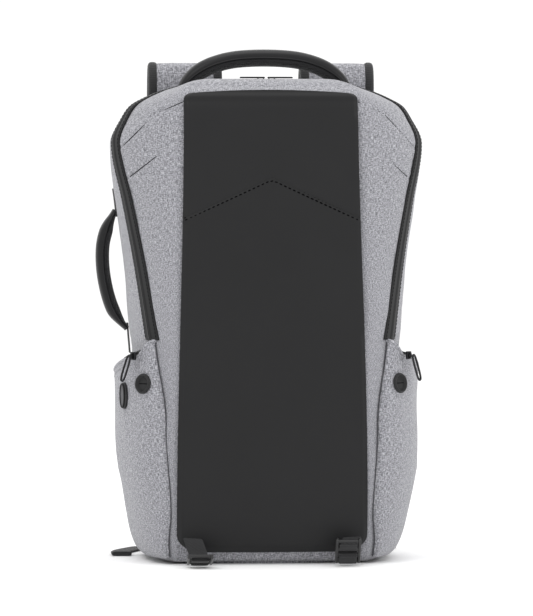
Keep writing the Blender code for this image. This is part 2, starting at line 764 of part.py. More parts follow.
def main_sliders(materials):
    """Two sliders meet over the crown; each pull lies outwards along the zip."""
    base = HEIGHT + LOOSE + TAPE_THICKNESS + SLIDER_ROOM
    y = zip_plane(HEIGHT)
    for side, word in ((-1, "left"), (1, "right")):
        x = side * (SLIDER_SIZE[0] / 2 + GAP)
        block(f"main_slider_{word}", (x, y, base + SLIDER_SIZE[2] / 2), SLIDER_SIZE, materials["metal"], 0.0008)
        z = base + SLIDER_SIZE[2] + GAP + PULL_THICKNESS / 2
        centre = (side * (PULL_LENGTH / 2 + 0.002), y, z)
        size = (PULL_LENGTH, PULL_WIDTH, PULL_THICKNESS)
        pull = block(f"main_pull_{word}", centre, size, materials["metal"], 0.0005)
        set_origin(pull, (side * 0.002, y, z))


def pocket_sliders(side, word, materials):
    """The slider stands at the front end of the pocket's zip and its pull hangs from it."""
    share = POCKET_SLIDER_SHARE
    rim = 1.0 - 0.5 * POCKET_RIM_WIDTH / (pocket_top(share) - POCKET_BOTTOM)
    at = frame_at(share, rim - 0.02, side, 2 * LOOSE + TAPE_THICKNESS)
    point, normal, _, _ = at
    half_width, half_length, height = POCKET_SLIDER_SIZE
    oval_plug(f"pocket_slider_{word}", at, half_width, half_length, 0.0, height, materials["metal"])
    hinge = point + normal * (height + LOOSE + PULL_THICKNESS / 2)
    down = Vector((0, 0, -1))
    out = Vector((normal.x, normal.y, 0)).normalized()
    widthwise = Vector((-out.y, out.x, 0))
    lean = widthwise * side * PULL_LEAN
    path = [hinge + (down + lean) * d + out * (0.0015 + 0.06 * d) for d in (0.0, PULL_LENGTH)]
    pull = strip(
        f"pocket_pull_{word}", path, widthwise, PULL_WIDTH * 0.7, PULL_THICKNESS, materials["metal"]
    )
    set_origin(pull, hinge)


def main():
    clear_scene()
    materials = make_materials()
    base_panel(materials["canvas"])
    lower_shell(materials["canvas"])
    half_shell("rear_shell", GAP, spread(0, 1, 9), materials["canvas"])
    half_shell("flap_shell", -GAP, spread(0, 1, 6) + [1.5, 2], materials["canvas"])
    zip_tape("zip_tape_rear", 1, materials["cover"])
    zip_tape("zip_tape_front", -1, materials["cover"])
    for side, word in ((-1, "left"), (1, "right")):
        side_pocket(side, word, materials["canvas"])
        pocket_zip(side, word, materials["webbing"])
        grommet(side, word, materials["rubber"])
        pocket_sliders(side, word, materials)
        shoulder_strap(side, word, materials)
        lash_strap(side, word, materials)
    charging_port(materials)
    haul_handle(materials["mesh"])
    side_handle(materials["mesh"])
    back_padding(materials)
    inner_parts(materials)
    front_pieces(materials)
    main_sliders(materials)


main()
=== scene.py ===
# %% [markdown]
# # A charging backpack in grey canvas and black coated fabric
# The CAD frame holds the structure: shells, joints, buckles and sliders as plain solids.
# This file gives each of them its real surface. It loads the frame once, and every new piece
# takes its place from the frame's boxes, so nothing has to be fitted afterwards.

# %% Load the frame
import bisect
import json
import math

import bmesh
import bpy
from mathutils import Matrix, Vector, noise

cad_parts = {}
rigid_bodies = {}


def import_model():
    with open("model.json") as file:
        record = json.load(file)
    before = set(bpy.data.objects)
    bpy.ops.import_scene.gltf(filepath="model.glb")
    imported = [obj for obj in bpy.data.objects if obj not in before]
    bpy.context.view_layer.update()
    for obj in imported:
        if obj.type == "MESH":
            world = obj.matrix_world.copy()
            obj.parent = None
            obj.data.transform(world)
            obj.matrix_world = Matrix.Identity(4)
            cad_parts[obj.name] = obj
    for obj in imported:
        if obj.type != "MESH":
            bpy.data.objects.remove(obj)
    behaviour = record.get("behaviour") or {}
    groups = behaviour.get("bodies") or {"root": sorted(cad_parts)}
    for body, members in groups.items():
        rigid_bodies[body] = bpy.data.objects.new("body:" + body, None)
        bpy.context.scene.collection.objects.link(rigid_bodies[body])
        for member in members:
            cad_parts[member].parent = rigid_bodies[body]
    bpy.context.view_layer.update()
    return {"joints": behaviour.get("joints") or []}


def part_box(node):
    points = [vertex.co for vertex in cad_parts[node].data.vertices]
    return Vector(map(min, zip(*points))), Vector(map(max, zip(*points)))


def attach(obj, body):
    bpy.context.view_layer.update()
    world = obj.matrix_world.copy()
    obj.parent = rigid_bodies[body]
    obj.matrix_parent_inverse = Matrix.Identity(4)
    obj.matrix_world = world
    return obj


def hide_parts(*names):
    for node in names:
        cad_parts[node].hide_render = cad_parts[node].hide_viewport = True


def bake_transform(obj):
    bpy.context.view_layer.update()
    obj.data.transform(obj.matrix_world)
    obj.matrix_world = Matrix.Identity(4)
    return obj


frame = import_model()
MM = 0.001

# %% [markdown]
# The pack stands on a pale studio floor under large soft lamps. A low camera looks at it almost
# straight on, from slightly to its left, so that the left side and its handle show a little more.

# %% Camera, floor and lamps
AIM = Vector((0.0000, 0.0, 0.2518))
CAMERA_DISTANCE = 4.0
CAMERA_TURN = math.radians(-4.0)
CAMERA_RISE = math.radians(1.6)
VIEW_HEIGHT = 0.620
SENSOR = 36.0


def look(obj, target):
    """Turns an object's -Z towards a point."""
    obj.rotation_mode = "QUATERNION"
    obj.rotation_quaternion = (Vector(target) - obj.location).to_track_quat("-Z", "Y")


def soft_lamp(name, location, size, power, colour=(1, 1, 1)):
    data = bpy.data.lights.new(name, "AREA")
    data.shape = "RECTANGLE"
    data.size = size[0]
    data.size_y = size[1]
    data.energy = power
    data.color = colour
    lamp = bpy.data.objects.new(name, data)
    lamp.location = location
    bpy.context.scene.collection.objects.link(lamp)
    look(lamp, (0, 0, 0.25))
    return lamp


camera_data = bpy.data.cameras.new("Camera")
camera = bpy.data.objects.new("Camera", camera_data)
bpy.context.scene.collection.objects.link(camera)
bpy.context.scene.camera = camera
flat = math.cos(CAMERA_RISE) * CAMERA_DISTANCE
camera.location = AIM + Vector(
    (math.sin(CAMERA_TURN) * flat, -math.cos(CAMERA_TURN) * flat, math.sin(CAMERA_RISE) * CAMERA_DISTANCE)
)
look(camera, AIM)
camera_data.sensor_width = SENSOR
camera_data.lens = SENSOR * CAMERA_DISTANCE / VIEW_HEIGHT
camera_data.clip_start = 0.1
print("camera at", [round(value, 3) for value in camera.location])

soft_lamp("key_from_upper_left", (-1.4, -1.7, 2.2), (1.0, 1.0), 15)
soft_lamp("fill_from_right", (1.9, -1.5, 1.3), (1.2, 1.4), 13)
soft_lamp("overhead", (0.0, 0.1, 2.4), (1.4, 1.4), 13)
soft_lamp("rear_fill", (0.4, 2.2, 1.5), (1.6, 1.4), 3)

# %% [markdown]
# Materials are built from nodes. One helper adds a node with its settings and links; colours are
# sRGB hex values, which one function turns to the linear values that a shader reads.


# %% Node and colour helpers
def linear(hex_colour):
    values = [int(hex_colour[i : i + 2], 16) / 255 for i in (1, 3, 5)]
    return [v / 12.92 if v <= 0.04045 else ((v + 0.055) / 1.055) ** 2.4 for v in values] + [1.0]


def add_node(material, kind, settings=None, **inputs):
    """Adds one node; settings are its own values, and each input takes a value or another node's output."""
    tree = material.node_tree
    made = tree.nodes.new("ShaderNode" + kind)
    for name, value in (settings or {}).items():
        setattr(made, name, value)
    for key, value in inputs.items():
        numbered = key[0] == "i" and key[1:].isdigit()
        socket = made.inputs[int(key[1:]) if numbered else key.replace("_", " ")]
        if isinstance(value, bpy.types.NodeSocket):
            tree.links.new(value, socket)
        else:
            socket.default_value = value
    return made


def new_material(name, hex_colour, roughness, metallic=0.0, **more):
    """A Principled material with its constant values on the shader's own sockets."""
    material = bpy.data.materials.new(name)
    material.use_nodes = True
    shader = material.node_tree.nodes["Principled BSDF"]
    shader.inputs["Base Color"].default_value = linear(hex_colour)
    shader.inputs["Roughness"].default_value = roughness
    shader.inputs["Metallic"].default_value = metallic
    for key, value in more.items():
        shader.inputs[key.replace("_", " ")].default_value = value
    return material, shader


def plug(material, output, shader, socket):
    material.node_tree.links.new(output, shader.inputs[socket])


def ramp(material, factor, stops):
    made = add_node(material, "ValToRGB", None, Fac=factor)
    elements = made.color_ramp.elements
    while len(elements) < len(stops):
        elements.new(0.5)
    for element, (position, colour) in zip(elements, stops):
        element.position = position
        element.color = linear(colour)
    return made.outputs["Color"]


def bump(material, shader, height, strength, distance, normal=None):
    made = add_node(material, "Bump", None, Strength=strength, Distance=distance, Height=height)
    if normal is not None:
        material.node_tree.links.new(normal, made.inputs["Normal"])
    plug(material, made.outputs["Normal"], shader, "Normal")
    return made.outputs["Normal"]


# %% [markdown]
# The grey cloth is a polyester canvas woven from two tones of melange yarn. Light and dark fibres
# are spun together, so each yarn changes tone along its length. The yarns are about 0.6 mm apart,
# drawn at 0.95 mm so that they show, and each tone runs in streaks a few yarns long, one set along
# the warp and one along the weft.


# %% Canvas
def cloth_coordinates(material, scale):
    """The piece's own map in metres, turned into yarn counts."""
    place = add_node(material, "TexCoord")
    return add_node(
        material, "Mapping", None, Vector=place.outputs["UV"], Scale=(1 / scale, 1 / scale, 1 / scale)
    ).outputs["Vector"]


def streaks(material, coordinates, stretch, detail):
    """Noise drawn out along one thread direction."""
    turned = add_node(material, "Mapping", None, Vector=coordinates, Scale=stretch).outputs["Vector"]
    made = add_node(
        material,
        "TexNoise",
        {"noise_dimensions": "2D"},
        Vector=turned,
        Scale=1.0,
        Detail=detail,
        Roughness=0.7,
    )
    return made.outputs["Fac"]


def waves(material, coordinates, direction, scale):
    made = add_node(
        material,
        "TexWave",
        {"wave_type": "BANDS", "bands_direction": direction, "wave_profile": "SIN"},
        Vector=coordinates,
        Scale=scale,
        Distortion=0.6,
        Detail=1.0,
    )
    return made.outputs["Fac"]


def canvas_material(name, dark, middle, light, yarn):
    material, shader = new_material(name, middle, 0.92, Sheen_Weight=0.25, Sheen_Roughness=0.5)
    threads = cloth_coordinates(material, yarn)
    weft = streaks(material, threads, (0.22, 1.0, 1.0), 2.0)
    warp = streaks(material, threads, (1.0, 0.20, 1.0), 2.0)
    fibres = streaks(material, threads, (1.6, 1.6, 1.0), 1.0)
    tone = add_node(material, "Math", {"operation": "ADD"}, i0=weft, i1=warp).outputs[0]
    tone = add_node(material, "Math", {"operation": "MULTIPLY_ADD"}, i0=fibres, i1=0.7, i2=tone).outputs[0]
    tone = add_node(material, "MapRange", None, i0=tone, i1=1.02, i2=1.68).outputs[0]
    colour = ramp(material, tone, [(0.0, dark), (0.5, middle), (1.0, light)])
    plug(material, colour, shader, "Base Color")
    over = waves(material, threads, "X", 0.5)
    under = waves(material, threads, "Y", 0.5)
    weave = add_node(material, "Math", {"operation": "MULTIPLY"}, i0=over, i1=under).outputs[0]
    bump(material, shader, weave, 0.35, 0.35 * MM)
    return material


grey_canvas = canvas_material("melange_polyester_canvas", "#4e4e53", "#85858a", "#bebec4", 0.95 * MM)
print("canvas:", grey_canvas.name)

# %% [markdown]
# The front cover is the same cloth under a smooth polyurethane coat. The coat hides the weave and
# leaves a satin face with a faint grain, slightly duller where it has been rubbed.

# %% Coated cover, webbing and lining
def coated_material(name, colour, worn, roughness, grain=0.9 * MM):
    material, shader = new_material(name, colour, roughness, Specular_IOR_Level=0.24)
    place = add_node(material, "TexCoord").outputs["Object"]
    rubbed = add_node(material, "TexNoise", None, Vector=place, Scale=9.0, Detail=4.0, Roughness=0.6)
    rub = rubbed.outputs["Fac"]
    plug(material, ramp(material, rub, [(0.3, colour), (0.75, worn)]), shader, "Base Color")
    shine = add_node(material, "MapRange", None, i0=rub, i3=roughness - 0.05, i4=roughness + 0.07)
    plug(material, shine.outputs[0], shader, "Roughness")
    pores = add_node(material, "TexVoronoi", None, Vector=place, Scale=1 / grain)
    bump(material, shader, pores.outputs["Distance"], 0.12, 0.12 * MM)
    return material


def webbing_material(name, colour, edge, rib=1.5 * MM):
    """Flat woven tape: ribs across its length, from the map's lengthwise direction."""
    material, shader = new_material(name, colour, 0.78, Sheen_Weight=0.15)
    place = add_node(material, "TexCoord").outputs["UV"]
    scaled = add_node(material, "Mapping", None, Vector=place, Scale=(1 / rib, 1 / rib, 1 / rib))
    scaled = scaled.outputs["Vector"]
    ribs = waves(material, scaled, "Y", 0.32)
    threads = waves(material, scaled, "X", 0.64)
    height = add_node(material, "Math", {"operation": "MULTIPLY_ADD"}, i0=threads, i1=0.4, i2=ribs).outputs[0]
    # The second colour, edge, goes on the raised ribs and the first stays in the hollows: a painted highlight
    # on the ribs and painted shade between them.
    plug(material, ramp(material, height, [(0.1, colour), (1.2 / 1.4, edge)]), shader, "Base Color")
    bump(material, shader, height, 0.6, 0.3 * MM)
    return material


cover_coat = coated_material("polyurethane_coated_black_cloth", "#151516", "#19191a", 0.50)
zip_coat = coated_material("polyurethane_coated_zip_tape", "#121213", "#171718", 0.45, 0.6 * MM)
# 1d1d1f is the painted highlight on the tape's raised ribs; #0e0e0f is the tape's own black, also painted
# into the hollows as shade.
black_webbing = webbing_material("woven_black_nylon_tape", "#0e0e0f", "#1d1d1f")
lining = canvas_material("plain_woven_dark_lining", "#1d1d20", "#2a2a2e", "#38383d", 0.8 * MM)
print("coats and tapes ready")

# %% [markdown]
# ## The body's shape
# Every soft panel follows one surface. Its outline passes through a few measured heights, and a
# smooth curve joins them. The sizes come from the frame's boxes, so the cloth lies on the frame.

# %% The outline that the panels follow
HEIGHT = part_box("rear_shell")[1].z
HALF_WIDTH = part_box("rear_shell")[1].x / 0.9975
FRONT_DEPTH = -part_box("lower_shell")[0].y
BACK_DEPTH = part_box("lower_shell")[1].y
WIDEST_Y = 0.022
FOLD_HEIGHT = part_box("lower_shell")[1].z + 0.5 * MM
COVER_STANDOFF = 5.5 * MM
ZIP_LOW_Y = -0.063
ZIP_SLOPE = 0.26
BACK_SQUARENESS = 4.5
COVER_HALF_LOW = 0.0943
COVER_TAPER = 0.0080
CROWN = 0.95
OUTLINE = (
    (0.000, 0.640, 0.70, 0.72),
    (0.012, 0.760, 0.82, 0.86),
    (0.035, 0.815, 0.90, 0.93),
    (0.100, 0.840, 0.96, 0.98),
    (0.250, 0.850, 1.00, 1.00),
    (0.400, 0.855, 1.00, 1.00),
    (0.470, 0.870, 0.985, 1.00),
    (0.620, 0.910, 0.90, 0.97),
    (0.750, 0.957, 0.826, 0.93),
    (0.870, 1.000, 0.758, 0.87),
    (0.920, 0.925, 0.730, 0.83),
    (0.950, 0.850, 0.700, 0.79),
    (0.970, 0.735, 0.630, 0.74),
    (0.985, 0.590, 0.500, 0.66),
    (0.994, 0.460, 0.330, 0.50),
    (1.000, 0.306, -0.05, 0.055),
)


def profile(share):
    """Half width, front depth and back depth at a share of the height."""
    last = len(OUTLINE) - 1
    low = 0
    while low < last - 1 and OUTLINE[low + 1][0] <= share:
        low += 1
    start, end = OUTLINE[low], OUTLINE[low + 1]
    before, after = OUTLINE[max(low - 1, 0)], OUTLINE[min(low + 2, last)]
    span = end[0] - start[0]
    t = min(max((share - start[0]) / span, 0.0), 1.0)
    values = []
    for k in (1, 2, 3):
        slope_in = (end[k] - before[k]) / (end[0] - before[0]) * span
        slope_out = (after[k] - start[k]) / (after[0] - start[0]) * span
        value = (2 * t**3 - 3 * t**2 + 1) * start[k] + (t**3 - 2 * t**2 + t) * slope_in
        values.append(value + (3 * t**2 - 2 * t**3) * end[k] + (t**3 - t**2) * slope_out)
    return values[0] * HALF_WIDTH, values[1] * FRONT_DEPTH, values[2] * BACK_DEPTH


def smooth(low, high, value):
    t = min(max((value - low) / (high - low), 0.0), 1.0)
    return t * t * (3 - 2 * t)


def cover_half(z):
    """Half the cover's width, a little narrower towards the top."""
    return COVER_HALF_LOW - COVER_TAPER * smooth(0.05, 0.46, z)


def surface(z, place, side=1):
    """A point on the body.

    Place -1 is the front's centre, 0 its corner, 0.5 the widest point and 1 the back's centre.
    """
    width, front, back = profile(z / HEIGHT)
    corner = min(cover_half(z), 0.93 * width)
    widest = WIDEST_Y * back / BACK_DEPTH
    if place < 0:
        return Vector((side * corner * (1 + place), -front, z))
    if place < 0.5:
        turn = place * math.pi
        x = corner + (width - corner) * math.sin(turn)
        return Vector((side * x, widest - (widest + front) * math.cos(turn), z))
    turn = (place - 0.5) * math.pi
    x = width * max(math.cos(turn), 0.0) ** (2 / BACK_SQUARENESS)
    return Vector((side * x, widest + (back - widest) * math.sin(turn) ** (2 / BACK_SQUARENESS), z))


def outward(z, place, side=1):
    """The surface's unit normal, taken from two short steps over it."""
    z = min(z, 0.985 * HEIGHT)
    step = 3 * MM
    up = surface(z + step, place, side) - surface(max(z - step, 0.0), place, side)
    along = surface(z, place + 0.01, side) - surface(z, place - 0.01, side)
    return along.cross(up).normalized() * side


def zip_place(z, behind=0.0):
    """Where round the side the main zip runs at a height, moved behind its slanting plane by a distance."""
    z = min(max(z, FOLD_HEIGHT), 0.990 * HEIGHT)
    _, front, back = profile(z / HEIGHT)
    widest = WIDEST_Y * back / BACK_DEPTH
    share = (widest - (ZIP_LOW_Y + ZIP_SLOPE * (z - FOLD_HEIGHT)) - behind) / (widest + front)
    return math.acos(min(max(share, 0.05), 0.98)) / math.pi


def level(v):
    """Height at a share of the way up a panel; near the crown the steps follow the curve over the top."""
    turn_start = 0.87
    foot = 2 * MM
    if v < turn_start:
        return foot + (CROWN * HEIGHT - foot) * v / turn_start
    return HEIGHT * (CROWN + (1 - CROWN) * math.sin(0.5 * math.pi * (v - turn_start) / (1 - turn_start)))


print("body:", [round(value, 4) for value in (HALF_WIDTH, FRONT_DEPTH, BACK_DEPTH, HEIGHT)])

# %% [markdown]
# ## From a flat grid to cloth
# A panel starts as a flat grid. Each point is then moved to its place on the body, as a tailor
# drapes cloth on a form. The grid keeps a map in metres, so the weave has its true size, and a
# Solidify modifier gives the cloth its thickness and a lined inner face.


# %% Panel helpers
def piece(name, bm, materials, smooth_faces=True):
    """Makes an object at the origin from a bmesh."""
    mesh = bpy.data.meshes.new(name)
    bm.to_mesh(mesh)
    bm.free()
    for material in materials:
        mesh.materials.append(material)
    if smooth_faces:
        mesh.shade_smooth()
        mesh.set_sharp_from_angle(angle=math.radians(42))
    made = bpy.data.objects.new(name, mesh)
    bpy.context.scene.collection.objects.link(made)
    return made


def map_in_metres(bm, across, lengthwise):
    """Sets the map of a grid from its even 0 to 1 spread to metres."""
    layer = bm.loops.layers.uv.verify()
    for face in bm.faces:
        for loop in face.loops:
            loop[layer].uv = (loop[layer].uv[0] * across, loop[layer].uv[1] * lengthwise)


def grid_piece(name, columns, rows, place, size, materials, wrap=False):
    """A grid whose points place(u, v) puts in space; wrap joins its first and last column."""
    bm = bmesh.new()
    bm.loops.layers.uv.verify()
    bmesh.ops.create_grid(bm, x_segments=columns, y_segments=rows, size=0.5, calc_uvs=True)
    map_in_metres(bm, *size)
    for vertex in bm.verts:
        vertex.co = place(vertex.co.x + 0.5, vertex.co.y + 0.5)
    if wrap:
        bmesh.ops.remove_doubles(bm, verts=bm.verts, dist=0.02 * MM)
        ends = [edge for edge in bm.edges if edge.is_boundary]
        bmesh.ops.holes_fill(bm, edges=ends, sides=0)
        bmesh.ops.recalc_face_normals(bm, faces=bm.faces)
    return piece(name, bm, materials)


def face_outwards(made, centre=(0, 0, 0.24)):
    """Turns an open sheet's faces away from a point inside the pack."""
    middle = made.data.polygons[len(made.data.polygons) // 2]
    if middle.normal.dot(middle.center - Vector(centre)) < 0:
        made.data.flip_normals()


def thicken(made, thickness, inner_material=0):
    solid = made.modifiers.new("Cloth thickness", "SOLIDIFY")
    solid.thickness = thickness
    solid.offset = -1
    solid.material_offset = inner_material
    solid.use_even_offset = False


def settle(made, body, replaced=()):
    """Rides the piece on its body, and hides the plain solids that it stands for."""
    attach(made, body)
    if replaced:
        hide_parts(*replaced)


def ripple(point, size, depth):
    """A soft, even unevenness, as cloth has over foam."""
    return depth * noise.noise(point / size)


def near_line(x, z, line):
    """Distance in the front view from a point to a bent line."""
    best = 1.0
    here = Vector((x, z))
    for start, end in zip(line, line[1:]):
        run = Vector(end) - Vector(start)
        share = min(max((here - Vector(start)).dot(run) / run.length_squared, 0.0), 1.0)
        best = min(best, (here - Vector(start) - run * share).length)
    return best


# %% [markdown]
# ## Front and rear canvas
# The main zip parts the canvas in two. The front piece is cut with two darts on each shoulder,
# which pull the flat cloth into a round corner. A dart is sewn from behind, so it shows as a fine
# valley with a low ridge beside it. The piece covers the points between the zip ends and runs across
# the fold line; it is baked where it lies and rides on neither body.

# %% The shoulder darts and the front canvas
UPPER_DART = ((0.086, 0.458), (0.114, 0.446), (0.148, 0.412))
LOWER_DART = ((0.113, 0.404), (0.141, 0.382))
DART_DEPTH = 1.1 * MM
DART_WIDTH = 1.3 * MM
DART_RIDGE = 0.5 * MM
DART_RIDGE_WIDTH = 5 * MM
CROWN_RIDGE = 3.4 * MM


def dart_depth(x, z):
    """How far the sewn darts pull the cloth in, and how far the cloth beside them stands up."""
    pull = 0.0
    for line in (UPPER_DART, LOWER_DART):
        away = near_line(abs(x), z, line)
        valley = -DART_DEPTH * math.exp(-((away / DART_WIDTH) ** 2))
        pull += valley + DART_RIDGE * math.exp(-((away / DART_RIDGE_WIDTH) ** 2))
    return pull


def front_canvas_point(u, v):
    z = level(v)
    edge = zip_place(z, -0.6 * MM)
    side = 1 if u > 0.5 else -1
    away = abs(u - 0.5) * 2
    middle = 0.42
    place = -1 + away / middle if away < middle else edge * (away - middle) / (1 - middle)
    point = surface(z, place, side)
    normal = outward(z, place, side)
    quiet = smooth(0.0, 0.04, place) * (1 - smooth(0.93, 1.0, away))
    ridge = smooth(0.985, 0.9955, z / HEIGHT) * (1 - smooth(0.9968, 0.9988, z / HEIGHT))
    point.z += CROWN_RIDGE * ridge
    push = dart_depth(point.x, z)
    push = push + ripple(point, 0.05, 1.3 * MM) * quiet + ripple(point, 0.016, 0.35 * MM) * quiet
    return point + normal * push


front_canvas = grid_piece(
    "front_canvas", 120, 290, front_canvas_point, (0.40, 0.55), [grey_canvas, lining]
)
face_outwards(front_canvas)
thicken(front_canvas, 2.2 * MM, 1)
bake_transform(front_canvas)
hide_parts("flap_shell")
print("front canvas:", len(front_canvas.data.polygons), "faces")


# %% The rear canvas
def rear_canvas_point(u, v):
    z = level(v)
    edge = zip_place(z, 0.6 * MM)
    side = 1 if u > 0.5 else -1
    away = abs(u - 0.5) * 2
    place = 1 - (1 - edge) * away
    point = surface(z, place, side)
    quiet = 1 - smooth(0.95, 1.0, away)
    push = (ripple(point, 0.06, 1.6 * MM) + ripple(point, 0.02, 0.4 * MM)) * quiet
    return point + outward(z, min(place, 0.985), side) * push


rear_canvas = grid_piece(
    "rear_canvas", 190, 250, rear_canvas_point, (0.62, 0.55), [grey_canvas, lining]
)
face_outwards(rear_canvas)
thicken(rear_canvas, 2.2 * MM, 1)
settle(rear_canvas, "pack", ("rear_shell", "lower_shell"))
print("rear canvas:", len(rear_canvas.data.polygons), "faces")

# %% [markdown]
# ## The front cover
# The cover is one long panel of coated cloth over thin foam. It is sewn down along its top and
# bottom and open along both sides, where the solar panel slides in. A seam in a flat V joins its
# upper and lower parts. Its edges roll back, which draws a dark line between it and the canvas. The
# right edge of the upper part stays nearly flat, so that the panel has room to come out.

# %% Front cover
COVER_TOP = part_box("front_cover_upper")[1].z
COVER_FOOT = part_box("front_cover_lower")[0].z + 2.5 * MM
V_PEAK = 0.3825
V_END = 0.3410
TOP_CORNER = 9 * MM
FOOT_CORNER = 24 * MM
FOOT_SHARE = 0.08
TOP_START = 0.95
STRAIGHT_SHARE = 0.87
SEAM_SLANT = 0.91
SEAM_DEPTH = 1.3 * MM
SEAM_WIDTH = 1.1 * MM
COVER_PUFF = 2.2 * MM


def cover_outline(v):
    """Height and half width at a share of the way up the cover, with rounded corners."""
    if v < FOOT_SHARE:
        turn = 0.5 * math.pi * v / FOOT_SHARE
        z = COVER_FOOT + FOOT_CORNER * (1 - math.cos(turn)) * 0.75
        return z, cover_half(z) - FOOT_CORNER * (1 - math.sin(turn)) * 1.1
    if v > TOP_START:
        turn = 0.5 * math.pi * (1 - v) / 0.05
        z = COVER_TOP - TOP_CORNER * (1 - math.cos(turn)) * 0.75
        return z, cover_half(z) - TOP_CORNER * (1 - math.sin(turn))
    low = COVER_FOOT + FOOT_CORNER * 0.75
    high = COVER_TOP - TOP_CORNER * 0.75
    z = low + (high - low) * (v - FOOT_SHARE) / STRAIGHT_SHARE
    return z, cover_half(z)


def seam_height(x):
    return V_PEAK - (V_PEAK - V_END) * abs(x) / 0.09


def cover_point(u, v):
    z, half = cover_outline(v)
    across = 2 * u - 1
    across = math.sin(0.5 * math.pi * across) * 0.35 + across * 0.65
    x = across * half
    z += 3 * MM * smooth(0.9, 1.0, v) * (1 - across * across)
    front = -profile(min(z, 0.955 * HEIGHT) / HEIGHT)[1] - COVER_STANDOFF
    edge = min(half - abs(x), 12 * MM)
    top = smooth(COVER_TOP - 5 * MM, COVER_TOP + 3 * MM, z)
    foot = 1 - smooth(COVER_FOOT, COVER_FOOT + 8 * MM, z)
    open_side = smooth(0, 40 * MM, x) * smooth(0.222, 0.232, z) * (1 - smooth(0.440, 0.450, z))
    tuck = 2.6 * MM - 2.3 * MM * open_side
    roll = tuck * (1 - smooth(0, 4 * MM, edge)) + 4 * MM * top + 3 * MM * foot
    puff = COVER_PUFF * (1 - across * across)
    away = abs(z - seam_height(x)) * SEAM_SLANT
    seam = SEAM_DEPTH * math.exp(-((away / SEAM_WIDTH) ** 2)) - 0.4 * MM * math.exp(-((away / (5 * MM)) ** 2))
    wave = ripple(Vector((x, 0.3, z)), 0.07, 0.9 * MM)
    return Vector((x, front + roll - puff + seam + wave, z))


cover = grid_piece("front_cover", 96, 300, cover_point, (0.185, 0.46), [cover_coat])
face_outwards(cover)
thicken(cover, 1.4 * MM)
rounded = cover.modifiers.new("Soft edge", "BEVEL")
rounded.width = 0.5 * MM
rounded.segments = 2
rounded.limit_method = "ANGLE"
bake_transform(cover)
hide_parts("front_cover_upper", "front_cover_lower")
print("front cover:", len(cover.data.polygons), "faces")

# %% [markdown]
# ## Straps, cords and threads
# Straps, padded handles, bindings and cords are all swept shapes: a closed outline carried along
# a route. An outline between an oval and a rectangle gives woven tape its flat faces and soft
# edges. Stitches are short pieces of thread set one by one along a route, as a machine leaves them.


# %% Swept shapes, stitches and small solids
def route_through(points, steps=12):
    """Points on a smooth curve through the given ones."""
    points = [Vector(point) for point in points]
    path = []
    for i in range(len(points) - 1):
        before, start = points[max(i - 1, 0)], points[i]
        end, after = points[i + 1], points[min(i + 2, len(points) - 1)]
        for k in range(steps):
            t = k / steps
            linear_part = 2 * start + (end - before) * t
            curved = (2 * before - 5 * start + 4 * end - after) * t * t
            path.append(0.5 * (linear_part + curved + (3 * start - before - 3 * end + after) * t**3))
    return path + [points[-1]]


def evenly(path, spacing):
    """The same route in equal steps, with its length."""
    total = sum((end - start).length for start, end in zip(path, path[1:]))
    count = max(2, round(total / spacing))
    made, walked, target = [path[0].copy()], 0.0, total / count
    for start, end in zip(path, path[1:]):
        step = (end - start).length
        while step > 0 and walked + step >= target - 1e-9 and len(made) < count:
            made.append(start.lerp(end, (target - walked) / step))
            target += total / count
        walked += step
    return made + [path[-1].copy()], total


def signed_power(value, power):
    return math.copysign(abs(value) ** power, value)


def across_at(path, i, widthwise):
    """A route's direction, widthwise direction and normal at one of its points."""
    along = (path[min(i + 1, len(path) - 1)] - path[max(i - 1, 0)]).normalized()
    across = (widthwise - along * widthwise.dot(along)).normalized()
    return along, across, along.cross(across)


def even_turns(width, thickness, squareness, steps=400):
    """Turns a share of an outline's length into the angle that gives it, so that points and map are even."""
    power = 2 / squareness
    angles = [2 * math.pi * k / steps for k in range(steps + 1)]
    points = [
        Vector((width * signed_power(math.cos(a), power), thickness * signed_power(math.sin(a), power)))
        for a in angles
    ]
    lengths = [0.0]
    for start, end in zip(points, points[1:]):
        lengths.append(lengths[-1] + (end - start).length)

    def turn_at(share):
        target = min(max(share, 0.0), 1.0) * lengths[-1]
        i = min(bisect.bisect_left(lengths, target), steps)
        if i == 0:
            return 0.0
        span = lengths[i] - lengths[i - 1]
        share_of_step = (target - lengths[i - 1]) / span if span else 0.0
        return angles[i - 1] + (angles[i] - angles[i - 1]) * share_of_step

    return turn_at


def swept(
    name, path, widthwise, width, thickness, materials, squareness=3.0, rounds=28, spacing=2 * MM, arc=(0, 1)
):
    """Carries an outline along a route; width and thickness are sizes, or functions of the share."""
    path, total = evenly(path, spacing)
    last = len(path) - 1
    widthwise = Vector(widthwise)

    def full_size(size, v):
        return size(v) if callable(size) else size

    def size_at(size, v):
        return 0.5 * full_size(size, v)

    turns = even_turns(full_size(width, 0.5), full_size(thickness, 0.5), squareness)

    def place(u, v):
        i = round(v * last)
        _, across, normal = across_at(path, i, widthwise)
        turn = turns(arc[0] + (arc[1] - arc[0]) * u)
        x = size_at(width, v) * signed_power(math.cos(turn), 2 / squareness)
        y = size_at(thickness, v) * signed_power(math.sin(turn), 2 / squareness)
        return path[i] + across * x + normal * y

    girth = 4 * (size_at(width, 0.5) + size_at(thickness, 0.5)) * (arc[1] - arc[0])
    return grid_piece(name, rounds, last, place, (girth, total), materials, arc == (0, 1))


def woven(name, path, widthwise, width, thickness, spacing=2 * MM):
    """Flat nylon tape along a route."""
    return swept(name, path, widthwise, width, thickness, [black_webbing], 6.0, 24, spacing)


